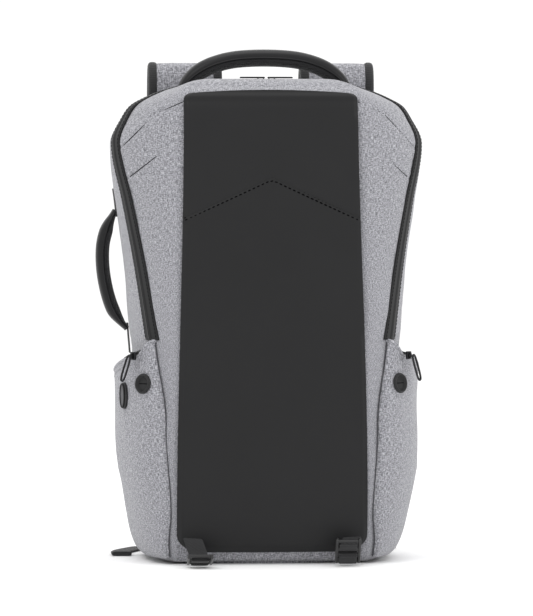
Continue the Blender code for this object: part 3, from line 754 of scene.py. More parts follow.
def stitches(
    name, path, widthwise, material, length=2.8 * MM, gap=1.0 * MM, thread=0.32 * MM, crosswise=False
):
    """Short threads set end to end along a route, or side by side across it, as a zip's teeth are."""
    path, _ = evenly(path, length + gap if not crosswise else gap)
    bm = bmesh.new()
    for i in range(len(path) - 1):
        along, across, normal = across_at(path, i, Vector(widthwise))
        direction = across if crosswise else along
        turned = direction.to_track_quat("Z", "Y").to_matrix().to_4x4()
        scaled = Matrix.Diagonal((thread, thread, length / 2, 1))
        middle = path[i].lerp(path[i + 1], 0.5)
        matrix = Matrix.Translation(middle) @ turned @ scaled
        bmesh.ops.create_uvsphere(bm, u_segments=6, v_segments=5, radius=1, matrix=matrix)
    return piece(name, bm, [material])


def box_piece(name, low, high, radius, materials, segments=3, turned=None):
    """A box between two corners with rounded edges."""
    low, high = Vector(low), Vector(high)
    bm = bmesh.new()
    bm.loops.layers.uv.verify()
    bmesh.ops.create_cube(bm, size=1, calc_uvs=True)
    map_in_metres(bm, 0.1, 0.1)
    bmesh.ops.scale(bm, vec=high - low, verts=bm.verts)
    bmesh.ops.bevel(
        bm, geom=bm.edges[:], offset=radius, affect="EDGES", segments=segments, profile=0.5, material=-1
    )
    bmesh.ops.translate(bm, vec=(low + high) / 2, verts=bm.verts)
    if turned is not None:
        bmesh.ops.transform(bm, matrix=turned, verts=bm.verts)
    return piece(name, bm, materials)


def join_pieces(name, pieces):
    """Makes one mesh of several, each keeping its material."""
    bm = bmesh.new()
    materials = []
    for part in pieces:
        first = len(bm.faces)
        bm.from_mesh(part.data)
        bm.faces.ensure_lookup_table()
        for face in bm.faces[first:]:
            material = part.data.materials[face.material_index]
            if material not in materials:
                materials.append(material)
            face.material_index = materials.index(material)
        bpy.data.objects.remove(part)
    return piece(name, bm, materials)


def turned_shape(name, outline, frame_matrix, materials, steps=48):
    """Spins a radius and height outline about a frame's Z."""
    bm = bmesh.new()
    line = [bm.verts.new((radius, 0, height)) for radius, height in outline]
    edges = [bm.edges.new(pair) for pair in zip(line, line[1:])]
    bmesh.ops.spin(
        bm,
        geom=line + edges,
        cent=(0, 0, 0),
        axis=(0, 0, 1),
        angle=2 * math.pi,
        steps=steps,
        use_merge=True,
    )
    bmesh.ops.remove_doubles(bm, verts=bm.verts, dist=0.01 * MM)
    bmesh.ops.recalc_face_normals(bm, faces=bm.faces)
    bmesh.ops.transform(bm, matrix=frame_matrix, verts=bm.verts)
    return piece(name, bm, materials)


def frame_of(point, normal, up):
    """A matrix whose Z is the normal and whose Y is near up."""
    normal = Vector(normal).normalized()
    up = (Vector(up) - normal * normal.dot(Vector(up))).normalized()
    across = up.cross(normal)
    matrix = Matrix((across, up, normal)).transposed().to_4x4()
    return Matrix.Translation(Vector(point)) @ matrix


# One black for real thread and the zip coil, and also for painted shade: the cords in the cover's seam and
# the dart valleys, and the grommet's slit.
black_thread_and_shade, _ = new_material("black_sewing_thread_and_painted_shade", "#020203", 0.9, Specular_IOR_Level=0.05)
# A dark grey for painted shadow along the pocket's front seam, laid on as a thin cord.
seam_shadow_paint, _ = new_material("dark_grey_painted_seam_shadow", "#3a3a3e", 0.8)
grey_thread, _ = new_material("grey_sewing_thread", "#6d6d72", 0.7, Sheen_Weight=0.1)
acetal, _ = new_material("moulded_black_acetal", "#1c1c1d", 0.32, Specular_IOR_Level=0.5)
rubber, _ = new_material("moulded_black_rubber", "#151516", 0.55, Specular_IOR_Level=0.35)
plated, _ = new_material("black_plated_zinc", "#2c2c2e", 0.28, metallic=0.9)


def mesh_material(name, hole_shade, knit, cell):
    """Spacer mesh: a knitted net of small holes over foam."""
    material, shader = new_material(name, knit, 0.85, Sheen_Weight=0.2)
    place = add_node(material, "TexCoord").outputs["Object"]
    to_edge = {"feature": "DISTANCE_TO_EDGE"}
    holes = add_node(material, "TexVoronoi", to_edge, Vector=place, Scale=1 / cell, Randomness=0.35)
    distance = holes.outputs["Distance"]
    wall = add_node(material, "MapRange", None, i0=distance, i1=0.08, i2=0.32, i3=1.0, i4=0.0).outputs[0]
    # The holes are real openings; their near-black first colour is painted shade inside them, and the knit
    # between them keeps its own colour.
    plug(material, ramp(material, wall, [(0.2, hole_shade), (0.8, knit)]), shader, "Base Color")
    bump(material, shader, wall, 0.9, 0.6 * MM)
    return material


# The first colour of each mesh is painted shade in its holes.
air_mesh = mesh_material("black_spacer_mesh", "#040405", "#1d1d1f", 2.6 * MM)
grip_mesh = mesh_material("black_grip_mesh", "#040405", "#19191b", 2.2 * MM)
handle_coat = coated_material("polyurethane_handle_skin", "#131314", "#18181a", 0.42, 0.7 * MM)
print("helpers ready")

# %% [markdown]
# The seam in a flat V across the cover is topstitched with black thread, just below its groove; a black cord
# in the groove is painted shade.
# The darts on the shoulders are sewn from behind, and a black cord in each valley is painted shade.


# %% Stitching on the cover, and painted shade lines in its seam and the shoulder darts
def cover_face(x, z, lift):
    """A point on the cover's face at a place in the front view."""
    across = x / cover_half(z)
    away = abs(z - seam_height(x)) * SEAM_SLANT
    seam = SEAM_DEPTH * math.exp(-((away / SEAM_WIDTH) ** 2))
    puff = COVER_PUFF * (1 - across * across) - seam
    return Vector((x, -profile(z / HEIGHT)[1] - COVER_STANDOFF - puff - lift, z))


def v_line(drop):
    reach = 0.0865
    steps = 40
    return [
        cover_face(x, seam_height(x) - drop, 0.15 * MM)
        for x in (reach * (2 * k / steps - 1) for k in range(steps + 1))
    ]


v_stitches = stitches(
    "cover_topstitch",
    v_line(2.4 * MM),
    (0, 0, 1),
    black_thread_and_shade,
    length=3.4 * MM,
    gap=1.5 * MM,
    thread=0.75 * MM,
)
# A thin black cord in the seam's groove: painted shade of the groove.
v_seam_shade = swept("cover_seam_shade_line", v_line(0.0), (0, 0, 1), 0.9 * MM, 0.6 * MM, [black_thread_and_shade], 2.0, 8)
for made in (v_stitches, v_seam_shade):
    settle(made, "main_flap")


def place_at(x, z):
    """The place round the front whose point has this distance from the middle."""
    low, high = 0.0, 0.5
    for _ in range(30):
        middle = (low + high) / 2
        if surface(z, middle).x < x:
            low = middle
        else:
            high = middle
    return (low + high) / 2


for side, word in ((-1, "left"), (1, "right")):
    for line, kind in ((UPPER_DART, "upper"), (LOWER_DART, "lower")):
        path = []
        for (x0, z0), (x1, z1) in zip(line, line[1:]):
            for k in range(12):
                x, z = x0 + (x1 - x0) * k / 12, z0 + (z1 - z0) * k / 12
                place = place_at(x, z)
                path.append(surface(z, place, side) + outward(z, place, side) * (-0.55 * MM))
        # A black cord in each dart's valley is painted shade of the valley.
        seam = swept(f"{kind}_dart_{word}", path, (0, -1, 0.3), 0.9 * MM, 0.8 * MM, [black_thread_and_shade], 2.0, 8)
        settle(seam, "main_flap")
print("seams sewn")

# %% [markdown]
# ## The main zip
# It is a reverse coil zip with coated tape. The coil is behind, so each side shows as a smooth
# black band, and the two bands meet over the coil. The front band goes with the front.

# %% Main zip bands
CROWN_Y = ZIP_LOW_Y + ZIP_SLOPE * (HEIGHT - FOLD_HEIGHT)
CROWN_HALF = 0.048
CROWN_DROP = 0.3 * MM
BAND = 9.6 * MM


def zip_line(v, behind, lift):
    """A point on the main zip's path, from its left end over the crown to its right end."""
    side = -1 if v < 0.5 else 1
    away = abs(v - 0.5) * 2
    crown_share = 0.13
    top = 0.994 * HEIGHT
    if away < crown_share:
        x = side * CROWN_HALF * away / crown_share
        return Vector((x, CROWN_Y + behind, HEIGHT - CROWN_DROP + 0.6 * lift))
    climb = 1 - (away - crown_share) / (1 - crown_share)
    z = FOLD_HEIGHT + (HEIGHT - FOLD_HEIGHT) * math.sin(0.5 * math.pi * climb)
    low = min(z, top)
    lift *= 1 - 0.55 * smooth(0.940, 0.962, z / HEIGHT)
    place = zip_place(low, behind)
    point = surface(low, place, side) + outward(low, place, side) * lift
    if z > top:
        over = Vector((side * CROWN_HALF, CROWN_Y + behind, HEIGHT - CROWN_DROP + 0.6 * lift))
        point = point.lerp(over, (z - top) / (HEIGHT - top))
    return point


def zip_band(name, direction):
    def place(u, v):
        roll = math.exp(-((u * BAND / (1.5 * MM)) ** 2))
        lift = 2.2 * MM + 0.9 * MM * roll - 1.6 * MM * smooth(0.88, 1.0, u)
        return zip_line(v, direction * (0.35 * MM + BAND * u), lift)

    made = grid_piece(name, 12, 420, place, (BAND, 0.76), [zip_coat])
    face_outwards(made)
    thicken(made, 0.9 * MM)
    return made


rear_band = zip_band("main_zip_rear_band", 1)
settle(rear_band, "pack", ("zip_tape_rear",))
front_band = zip_band("main_zip_front_band", -1)
settle(front_band, "main_flap", ("zip_tape_front",))
coil_path = [zip_line(k / 400, 0.0, 0.6 * MM) for k in range(401)]
coil = stitches(
    "main_zip_coil",
    coil_path,
    (0, 1, 0),
    black_thread_and_shade,
    length=5.0 * MM,
    gap=1.5 * MM,
    thread=0.5 * MM,
    crosswise=True,
)
settle(coil, "pack")
for direction, body, word in ((-1, "main_flap", "front"), (1, "pack", "rear")):
    line = [zip_line(0.002 + 0.996 * k / 300, direction * (BAND - 1.6 * MM), 2.3 * MM) for k in range(301)]
    settle(stitches(f"zip_band_{word}_stitches", line, (0, 1, 0), black_thread_and_shade), body)
print("main zip:", len(front_band.data.polygons), "faces on each side")

# %% [markdown]
# Two sliders meet over the crown, each with a pull that lies along the zip. A slider is a small
# casting: a flat body, and a bridge that holds the pull's ring.


# %% Sliders and pulls
SLIDER_LIFT = 0.7 * MM
PULL_LIFT = 3.6 * MM


def loop_path(matrix, length, width, count=40):
    """A closed loop with round ends, hanging from the frame's origin down its Y."""
    radius = width / 2
    points = []
    for k in range(count + 1):
        turn = 2 * math.pi * k / count
        y = -length / 2 + signed_power(math.cos(turn), 0.55) * (length / 2)
        x = signed_power(math.sin(turn), 0.75) * radius
        points.append(matrix @ Vector((x, y, 0)))
    return points


def slider_piece(name, matrix, size):
    """A slider's casting in a frame whose Z stands off the zip and whose Y runs along the pull."""
    wide, long, high = size
    low, top = (-wide / 2, -long / 2, 0), (wide / 2, long / 2, 0.55 * high)
    body = box_piece("body", low, top, 0.18 * high, [plated], 3, matrix)
    arch = []
    for k in range(21):
        y = k / 10 - 1
        rise = 0.45 * high + 0.42 * high * math.sqrt(max(1 - y * y, 0.0))
        arch.append(matrix @ Vector((0, y * long * 0.36, rise)))
    sideways = matrix.to_3x3() @ Vector((1, 0, 0))
    bridge = swept("bridge", arch, sideways, 0.3 * wide, 0.24 * high, [plated], 3.0, 12, 0.4 * MM)
    return join_pieces(name, [body, bridge])


for side, word in ((-1, "left"), (1, "right")):
    low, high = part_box(f"main_slider_{word}")
    middle = (low + high) / 2
    base = frame_of((middle.x, middle.y, HEIGHT + SLIDER_LIFT), (0, 0, 1), (-side, 0, 0))
    slider = slider_piece(f"main_slider_{word}_casting", base, (9 * MM, 9.5 * MM, 3.0 * MM))
    settle(slider, f"main_slider_{word}", (f"main_slider_{word}",))
    low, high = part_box(f"main_pull_{word}")
    hinge_x = low.x if side > 0 else high.x
    matrix = frame_of((hinge_x, middle.y, HEIGHT + PULL_LIFT), (0, 0, 1), (-side, 0, 0))
    path = loop_path(matrix, high.x - low.x, high.y - low.y - 1.6 * MM)
    pull = swept(f"main_pull_{word}_loop", path, (0, 0, 1), 1.5 * MM, 1.6 * MM, [plated], 2.4, 12, 0.8 * MM)
    settle(pull, f"main_pull_{word}", (f"main_pull_{word}",))
print("main sliders placed")

# %% [markdown]
# ## Side pockets
# Each pocket is cut fuller than the side it covers and gathered into the seams round it, so it
# stands out in the middle and its cloth is a little slack. Its rim is high at the front and falls
# along the side, and a zip closes the gap between the rim and the body.

# %% Pocket surface
POCKET_FOOT = 8 * MM
POCKET_REAR = 0.66
POCKET_BULGE = 16.5 * MM
RIM_HEIGHT = FOLD_HEIGHT - 0.5 * MM


def pocket_front(z):
    """Where round the body the pocket's front seam runs; it swings outwards towards the top."""
    outwards = 0.045 + 0.042 * smooth(0.05, 0.14, z) + 0.08 * smooth(0.14, 0.222, z)
    return outwards + 0.02 * (1 - smooth(0.02, 0.05, z))


def pocket_rim(place):
    return RIM_HEIGHT - 16.5 * MM * smooth(0.165, 0.235, place) - 16.5 * MM * smooth(0.235, 0.52, place)


def pocket_place(share, rise):
    """Height and place round the body of a point on the pocket."""
    z = POCKET_FOOT + (pocket_rim(0.10 + 0.56 * share) - POCKET_FOOT) * rise
    front = pocket_front(z)
    place = front + (POCKET_REAR - front) * share
    return POCKET_FOOT + (pocket_rim(place) - POCKET_FOOT) * rise, place


def pocket_fullness(share, rise):
    if not 0 < share < 1 or rise <= 0:
        return 0.0
    return math.sin(math.pi * share) ** 0.48 * min(rise / 0.45, 1.0) ** 0.8


def pocket_skin(share, rise, side, extra=0.0):
    z, place = pocket_place(share, rise)
    full = pocket_fullness(share, rise)
    if side < 0:
        full *= 0.62 + 0.38 * smooth(0.1, 0.75, rise)
    offset = 1.0 * MM + 2.5 * MM * smooth(0, 0.04, share) * smooth(0, 0.04, 1 - share)
    offset = offset + POCKET_BULGE * full + extra
    point = surface(z, place, side)
    slack = ripple(point, 0.045, 1.8 * MM) + ripple(Vector((point.x, point.y, 0.35 * z)), 0.014, 0.8 * MM)
    return point + outward(z, place, side) * (offset + slack * full * (1 - 0.6 * smooth(0.85, 1.0, rise)))


def pocket_frame(place, z, side, extra):
    """A frame on the pocket's face, for a part that is fixed to it."""
    front = pocket_front(z)
    share = (place - front) / (POCKET_REAR - front)
    rise = (z - POCKET_FOOT) / (pocket_rim(place) - POCKET_FOOT)
    point = pocket_skin(share, rise, side)
    along = pocket_skin(share + 0.05, rise, side) - pocket_skin(share - 0.05, rise, side)
    up = pocket_skin(share, rise + 0.05, side) - pocket_skin(share, rise - 0.05, side)
    normal = along.cross(up).normalized() * side
    return frame_of(point + normal * extra, normal, (0, 0, 1))


for side, word in ((-1, "left"), (1, "right")):
    skin = grid_piece(
        f"pocket_{word}",
        130,
        110,
        lambda u, v: pocket_skin(u, v, side),
        (0.24, 0.215),
        [grey_canvas, lining],
    )
    face_outwards(skin, (side * 0.09, 0, 0.11))
    thicken(skin, 1.8 * MM, 1)
    settle(skin, "pack", (f"side_pocket_{word}",))
    rim = [pocket_skin(k / 60, 1.0, side, -0.6 * MM) for k in range(61)]
    hem = swept(f"pocket_{word}_hem", rim, (0, 0, 1), 3.4 * MM, 2.8 * MM, [grey_canvas], 2.4, 16)
    settle(hem, "pack")
    line = [pocket_skin(k / 60, 0.962, side, 0.15 * MM) for k in range(61)]
    rim_thread = stitches(f"pocket_{word}_rim_stitches", line, (0, 0, 1), grey_thread, thread=0.25 * MM)
    settle(rim_thread, "pack")
    edge = [pocket_skin(0.0, k / 60, side, 0.2 * MM) for k in range(61)]
    # The thin dark grey cord down the pocket's front edge is painted shadow of the seam.
    piping = swept(f"pocket_{word}_front_seam_shadow", edge, (0, -1, 0), 1.0 * MM, 1.0 * MM, [seam_shadow_paint], 2.0, 10)
    settle(piping, "pack")

    def shelf(u, v):
        outer = pocket_skin(v, 1.0, side, -1.6 * MM)
        z, place = pocket_place(v, 1.0)
        height = min(z + 8.5 * MM * smooth(0, 0.12, v), RIM_HEIGHT + 2 * MM)
        inner = surface(height, place, side) + outward(height, place, side) * 1.4 * MM
        return outer.lerp(inner, u) + Vector((0, 0, 1.5 * MM * math.sin(math.pi * u)))

    tape = grid_piece(f"pocket_zip_{word}_tape", 10, 120, shelf, (0.02, 0.24), [zip_coat])
    face_outwards(tape, (0, 0, 0))
    thicken(tape, 0.8 * MM)
    settle(tape, "pack", (f"pocket_zip_{word}",))
    coil_path = [shelf(0.32, 0.02 + 0.96 * k / 120) + Vector((0, 0, 0.7 * MM)) for k in range(121)]
    teeth = stitches(
        f"pocket_zip_{word}_coil",
        coil_path,
        (-side, 0, 0.2),
        acetal,
        length=4.2 * MM,
        gap=1.2 * MM,
        thread=0.45 * MM,
        crosswise=True,
    )
    settle(teeth, "pack")
print("pockets:", POCKET_FOOT, round(RIM_HEIGHT, 4))

# %% [markdown]
# The pocket slider carries a thin looped pull. Below it is a round rubber grommet for an earphone
# lead, with a slit in its skin, drawn as a thin black bar of painted shade. The left pocket also has the
# charging port: an oval socket with a rubber cap that opens towards the rear.

# %% Pocket sliders, grommets and the port
GROMMET_PLACE = 0.185
GROMMET_HEIGHT = 0.180
GROMMET_RING = (
    (10.0, 0.0),
    (10.0, 1.2),
    (9.4, 2.2),
    (8.6, 2.6),
    (7.8, 2.3),
    (7.2, 1.2),
    (6.4, 0.5),
    (3.0, 0.7),
    (0.0, 0.8),
)
PORT_PLACE = 0.295
PORT_HEIGHT = 0.1665
for side, word in ((-1, "left"), (1, "right")):
    low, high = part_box(f"pocket_slider_{word}")
    middle = (low + high) / 2
    facing = pocket_frame(0.215, middle.z - 6 * MM, side, 0).to_3x3() @ Vector((0, 0, 1))
    base = frame_of(middle - facing * 2.6 * MM, facing, (0, 0, 1))
    slider = slider_piece(f"pocket_slider_{word}_casting", base, (7 * MM, 8 * MM, 5.2 * MM))
    settle(slider, f"pocket_slider_{word}", (f"pocket_slider_{word}",))
    low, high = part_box(f"pocket_pull_{word}")
    top = Vector((low.x if side > 0 else high.x, low.y, high.z)) + Vector((side, -0.2, 0)) * 1.2 * MM
    foot = Vector((high.x if side > 0 else low.x, high.y, low.z)) - Vector((side, 0.2, 0)) * 1.2 * MM
    matrix = frame_of(top, facing, top - foot)
    path = loop_path(matrix, (top - foot).length, 5.0 * MM)
    pull = swept(f"pocket_pull_{word}_loop", path, facing, 2.1 * MM, 2.1 * MM, [plated], 2.2, 12, 0.8 * MM)
    settle(pull, f"pocket_pull_{word}", (f"pocket_pull_{word}",))

    at = pocket_frame(GROMMET_PLACE, GROMMET_HEIGHT, side, 0.2 * MM)
    rim = turned_shape("rim", [(r * MM, h * MM) for r, h in GROMMET_RING], at, [rubber])
    # The black bar across the grommet's skin is painted shade in its slit.
    low, high = (-5 * MM, -0.35 * MM, 0), (5 * MM, 0.35 * MM, 1.0 * MM)
    slit_shade = box_piece("slit_shade", low, high, 0.1 * MM, [black_thread_and_shade], 1, at)
    grommet = join_pieces(f"grommet_{word}", [rim, slit_shade])
    settle(grommet, "pack", (f"earphone_grommet_{word}",))


def oval_path(matrix, half_width, half_length, lift, count=48):
    return [
        matrix @ Vector((half_width * math.cos(t), half_length * math.sin(t), lift))
        for t in (2 * math.pi * k / count for k in range(count + 1))
    ]


cap_rubber, _ = new_material("moulded_grey_rubber", "#4a4a4d", 0.5)
port_at = pocket_frame(PORT_PLACE, PORT_HEIGHT, -1, 0.0)
facing = port_at.to_3x3() @ Vector((0, 0, 1))
bezel_path = oval_path(port_at, 5.4 * MM, 12.4 * MM, 1.4 * MM)
bezel = swept("bezel", bezel_path, facing, 3.2 * MM, 1.8 * MM, [acetal], 2.5, 14, 1 * MM)
low, high = (-3.6 * MM, -8 * MM, -1 * MM), (3.6 * MM, 8 * MM, 1.6 * MM)
socket = box_piece("socket", low, high, 0.8 * MM, [plated], 3, port_at)
port = join_pieces("port_housing", [bezel, socket])
settle(port, "pack", ("charging_port",))
lip_path = oval_path(port_at, 4.6 * MM, 11.6 * MM, 3.6 * MM)
cap_lip = swept("lip", lip_path, facing, 1.6 * MM, 1.6 * MM, [rubber], 2.2, 12, 1 * MM)
bm = bmesh.new()
bmesh.ops.create_circle(bm, cap_ends=True, segments=40, radius=1)
bmesh.ops.scale(bm, vec=(4.8 * MM, 11.8 * MM, 1), verts=bm.verts)
bmesh.ops.translate(bm, vec=(0, 0, 3.6 * MM), verts=bm.verts)
bmesh.ops.solidify(bm, geom=bm.faces[:], thickness=0.9 * MM)
bmesh.ops.transform(bm, matrix=port_at, verts=bm.verts)
cap_plate = piece("plate", bm, [cap_rubber])
cap = join_pieces("port_cap_cover", [cap_plate, cap_lip])
settle(cap, "port_cap", ("port_cap",))
print("pocket fittings placed")

# %% [markdown]
# ## Handles
# Both handles are made alike: a foam core in spacer mesh, a coated skin over its outer half, and
# a thin cord in the seam between them. Their ends are pressed flat and sewn into the body.


# %% Haul handle and side handle
def padded_handle(name, path, widthwise, width, thickness, body, foot, node):
    """Core, skin and piping of one handle; with a foot the pieces are baked in place, and with None they ride
    whole on the body.
    """
    core = swept(f"{name}_core", path, widthwise, width, thickness, [grip_mesh], 2.6, 32)
    skin = swept(
        f"{name}_skin",
        path,
        widthwise,
        lambda v: width(v) + 1.6 * MM,
        lambda v: thickness(v) + 1.6 * MM,
        [handle_coat],
        2.6,
        28,
        arc=(0.0, 0.5),
    )
    middle = path[len(path) // 2]
    face_outwards(skin, middle - (across_at(path, len(path) // 2, Vector(widthwise))[2]) * 0.01)
    thicken(skin, 0.9 * MM)
    pieces = [core, skin]
    even, _ = evenly(path, 2 * MM)
    for sign, word in ((-1, "near"), (1, "far")):
        line = []
        for i, point in enumerate(even):
            across = across_at(even, i, Vector(widthwise))[1]
            line.append(point + across * sign * (0.5 * width(i / (len(even) - 1)) + 0.3 * MM))
        cord = swept(f"{name}_piping_{word}", line, widthwise, 2.2 * MM, 2.2 * MM, [handle_coat], 2.0, 12)
        pieces.append(cord)
    for made in pieces:
        if foot:
            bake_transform(made)
        else:
            settle(made, body)
    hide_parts(node)


def swell(ends, middle, share=0.16):
    """A size that grows from its value at both ends to its value in the middle."""
    return lambda v: ends + (middle - ends) * smooth(0, share, v) * smooth(0, share, 1 - v)


HAUL_Y = sum(corner.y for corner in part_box("haul_handle")) / 2
HAUL_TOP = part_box("haul_handle")[1].z - 8.6 * MM
half_arch = (
    (0.0865, 0.4615),
    (0.0835, 0.4705),
    (0.0775, 0.4800),
    (0.0675, 0.4885),
    (0.0520, 0.4965),
    (0.0300, 0.5020),
)
arch = [(-x, HAUL_Y, z) for x, z in half_arch] + [(0, HAUL_Y, HAUL_TOP)]
arch += [(x, HAUL_Y, z) for x, z in reversed(half_arch)]
padded_handle(
    "haul_handle",
    route_through(arch),
    (0, 1, 0),
    swell(22 * MM, 27 * MM),
    swell(9.0 * MM, 16.5 * MM, 0.2),
    "haul_handle",
    ((0, HAUL_Y, 0.468), (0, HAUL_Y, 0.489)),
    "haul_handle",
)

SIDE_PLACE = 0.53
reach = (
    (0.2305, 2),
    (0.2385, 8),
    (0.2520, 15),
    (0.2720, 19.5),
    (0.2950, 21),
    (0.3170, 18.5),
    (0.3340, 12),
    (0.3440, 6),
    (0.3500, 2),
)
side_points = [surface(z, SIDE_PLACE, -1) + outward(z, SIDE_PLACE, -1) * out * MM for z, out in reach]
padded_handle(
    "side_handle",
    route_through(side_points),
    (0, 1, 0),
    swell(20 * MM, 24 * MM),
    swell(5.0 * MM, 13.0 * MM, 0.2),
    "side_handle",
    None,
    "side_handle",
)
for low, high, word in ((0.2060, 0.2360, "lower"), (0.3440, 0.3720, "upper")):
    heights = [low + (high - low) * k / 10 for k in range(11)]
    path = [surface(z, SIDE_PLACE, -1) + outward(z, SIDE_PLACE, -1) * 1.6 * MM for z in heights]
    tab = woven(f"side_handle_{word}_tab", path, (0, 1, 0), 21 * MM, 1.6 * MM)
    settle(tab, "pack")
print("handles: top at", round(HAUL_TOP, 4))

# %% [markdown]
# ## Shoulder straps
# A strap is canvas outside and spacer mesh inside over foam, bound along both edges with black
# tape. It narrows below the chest and ends in a ladder lock. Webbing comes up from the pack's
# lower corner, turns over the lock's middle bar and hangs down to a folded end.

# %% Shoulder straps
STRAP_X = 0.078
BACK_FACE = BACK_DEPTH + 17 * MM
STRAP_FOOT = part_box("shoulder_strap_left")[0].z


def strap_width(v):
    return 74 * MM - 38 * MM * smooth(0.70, 1.0, v)


def strap_thickness(v):
    return 12 * MM - 4 * MM * smooth(0.85, 1.0, v) - 5 * MM * (1 - smooth(0, 0.06, v))


def ladder_lock(name, matrix, width, length, tab_first):
    """A ladder lock in a frame: X across, Y along, Z its thickness, from one end's middle."""
    parts = []
    for side in (-1, 1):
        x = side * (width / 2 - 1.5 * MM)
        low, high = (x - 1.5 * MM, 0, -2.3 * MM), (x + 1.5 * MM, length, 2.3 * MM)
        parts.append(box_piece("rail", low, high, 1.1 * MM, [acetal], 3, matrix))
    bars = ((0.10, 1.5, 1.5), (0.42, 1.9, 1.7), (0.66, 1.6, 1.5))
    for share, half_length, half_thickness in bars:
        y = (1 - share if tab_first else share) * length
        low = (-width / 2 + 1 * MM, y - half_length * MM, -half_thickness * MM)
        high = (width / 2 - 1 * MM, y + half_length * MM, half_thickness * MM)
        parts.append(box_piece("bar", low, high, 0.9 * MM, [acetal], 3, matrix))
    tilt = Matrix.Rotation(math.radians(-16 if tab_first else 16), 4, "X")
    y = 0.09 * length if tab_first else 0.91 * length
    at = matrix @ Matrix.Translation((0, y, 0.8 * MM)) @ tilt
    half = width / 2 - 1 * MM
    low, high = (-half, -3.2 * MM, -1 * MM), (half, 3.2 * MM, 1 * MM)
    parts.append(box_piece("tab", low, high, 0.9 * MM, [acetal], 3, at))
    return join_pieces(name, parts)


for side, word in ((-1, "left"), (1, "right")):
    root_y, root_z = BACK_DEPTH + 6 * MM, HEIGHT - 20 * MM
    line = (
        (root_y, root_z - 4 * MM),
        (root_y + 1 * MM, HEIGHT + 5 * MM),
        (root_y + 10 * MM, HEIGHT + 15 * MM),
        (BACK_FACE + 12 * MM, HEIGHT + 4 * MM),
        (BACK_FACE + 20 * MM, HEIGHT - 50 * MM),
        (BACK_FACE + 24 * MM, 0.5 * (HEIGHT + STRAP_FOOT)),
        (BACK_FACE + 18 * MM, STRAP_FOOT + 70 * MM),
        (BACK_FACE + 12 * MM, STRAP_FOOT),
    )
    path = route_through([(side * STRAP_X, y, z) for y, z in line], 16)
    body = f"shoulder_strap_{word}"
    strap = swept(
        f"{body}_canvas", path, (1, 0, 0), strap_width, strap_thickness, [grey_canvas], 4.0, 48, 2.4 * MM
    )
    settle(strap, body, (body,))
    even, _ = evenly(path, 2.4 * MM)
    last = len(even) - 1
    inner_path = even[int(0.24 * last) : int(0.97 * last)]

    def inner_size(size, trim):
        return lambda v: size(0.24 + 0.73 * v) + trim

    inner = swept(
        f"{body}_mesh",
        inner_path,
        (1, 0, 0),
        inner_size(strap_width, -3 * MM),
        inner_size(strap_thickness, 1.6 * MM),
        [air_mesh],
        4.0,
        40,
        2.4 * MM,
        (0.03, 0.47),
    )
    face_outwards(inner, even[last // 2] + Vector((0, 0.02, 0)))
    thicken(inner, 1.0 * MM)
    settle(inner, body)
    for edge in (-1, 1):
        bound = [
            point + Vector((edge * (0.5 * strap_width(i / last) - 4.0 * MM), 0, 0))
            for i, point in enumerate(even)
        ]
        tape = swept(
            f"{body}_binding_{'inner' if edge * side < 0 else 'outer'}",
            bound,
            (1, 0, 0),
            10 * MM,
            lambda v: strap_thickness(v) + 1.8 * MM,
            [black_webbing],
            3.2,
            24,
            2.4 * MM,
        )
        settle(tape, body)

    low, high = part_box(f"strap_buckle_{word}")
    middle = (low + high) / 2
    at = frame_of((middle.x, middle.y, high.z), (0, 1, 0), (0, 0, -1))
    lock = ladder_lock(f"strap_lock_{word}", at, high.x - low.x, high.z - low.z, False)
    settle(lock, body, (f"strap_buckle_{word}",))
    top_bar = high.z - 0.10 * (high.z - low.z)
    loop = (
        (middle.y - 3.6 * MM, top_bar + 16 * MM),
        (middle.y - 3.0 * MM, top_bar + 2 * MM),
        (middle.y, top_bar - 2.6 * MM),
        (middle.y + 3.0 * MM, top_bar + 2 * MM),
        (middle.y + 3.6 * MM, top_bar + 16 * MM),
    )
    loop_route = route_through([(side * STRAP_X, y, z) for y, z in loop])
    tab = woven(f"strap_end_loop_{word}", loop_route, (1, 0, 0), 21 * MM, 1.5 * MM, 1 * MM)
    settle(tab, body)

    bar = high.z - 0.42 * (high.z - low.z)
    y = middle.y
    x = STRAP_X
    anchor = surface(0.045, 0.70, side) + outward(0.045, 0.70, side) * 4 * MM
    tail = ((x + 0.016, y + 0.008, 0.018), (x + 0.027, y + 0.006, 0.0045), (x + 0.050, y - 0.006, 0.0022))
    if side < 0:
        tail += ((x + 0.066, y - 0.040, 0.0022), (x + 0.067, y - 0.075, 0.0026))
    else:
        tail += ((x + 0.060, y - 0.010, 0.0022),)
    points = [anchor] + [
        Vector((side * px, py, pz))
        for px, py, pz in (
            (x + 0.012, y - 0.010, 0.075),
            (x + 0.001, y - 0.0042, bar - 0.016),
            (x, y - 0.0036, bar - 0.003),
            (x, y, bar + 0.0032),
            (x, y + 0.0036, bar - 0.003),
            (x, y + 0.0046, bar - 0.016),
            (x + 0.006, y + 0.009, bar - 0.060),
        )
        + tail
    ]
    widthwise = Vector((side, 0.35, 0)).normalized()
    path = route_through(points, 14)
    webbing = woven(f"strap_webbing_{word}_tape", path, widthwise, 20 * MM, 1.5 * MM, 1.5 * MM)
    even, _ = evenly(path, 2 * MM)
    fold = swept(
        f"strap_webbing_{word}_folded_end",
        even[-9:],
        widthwise,
        20.5 * MM,
        4.4 * MM,
        [black_webbing],
        4.0,
        24,
        1.5 * MM,
    )
    for made in (webbing, fold):
        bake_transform(made)
    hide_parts(f"strap_webbing_{word}")
print("straps end at", round(STRAP_FOOT, 4))

# %% [markdown]
# ## Lash straps
# Two short webbing straps come out from under the front's bottom seam and end in ladder locks
# that lie on the floor. The right one has come to rest on its edge.

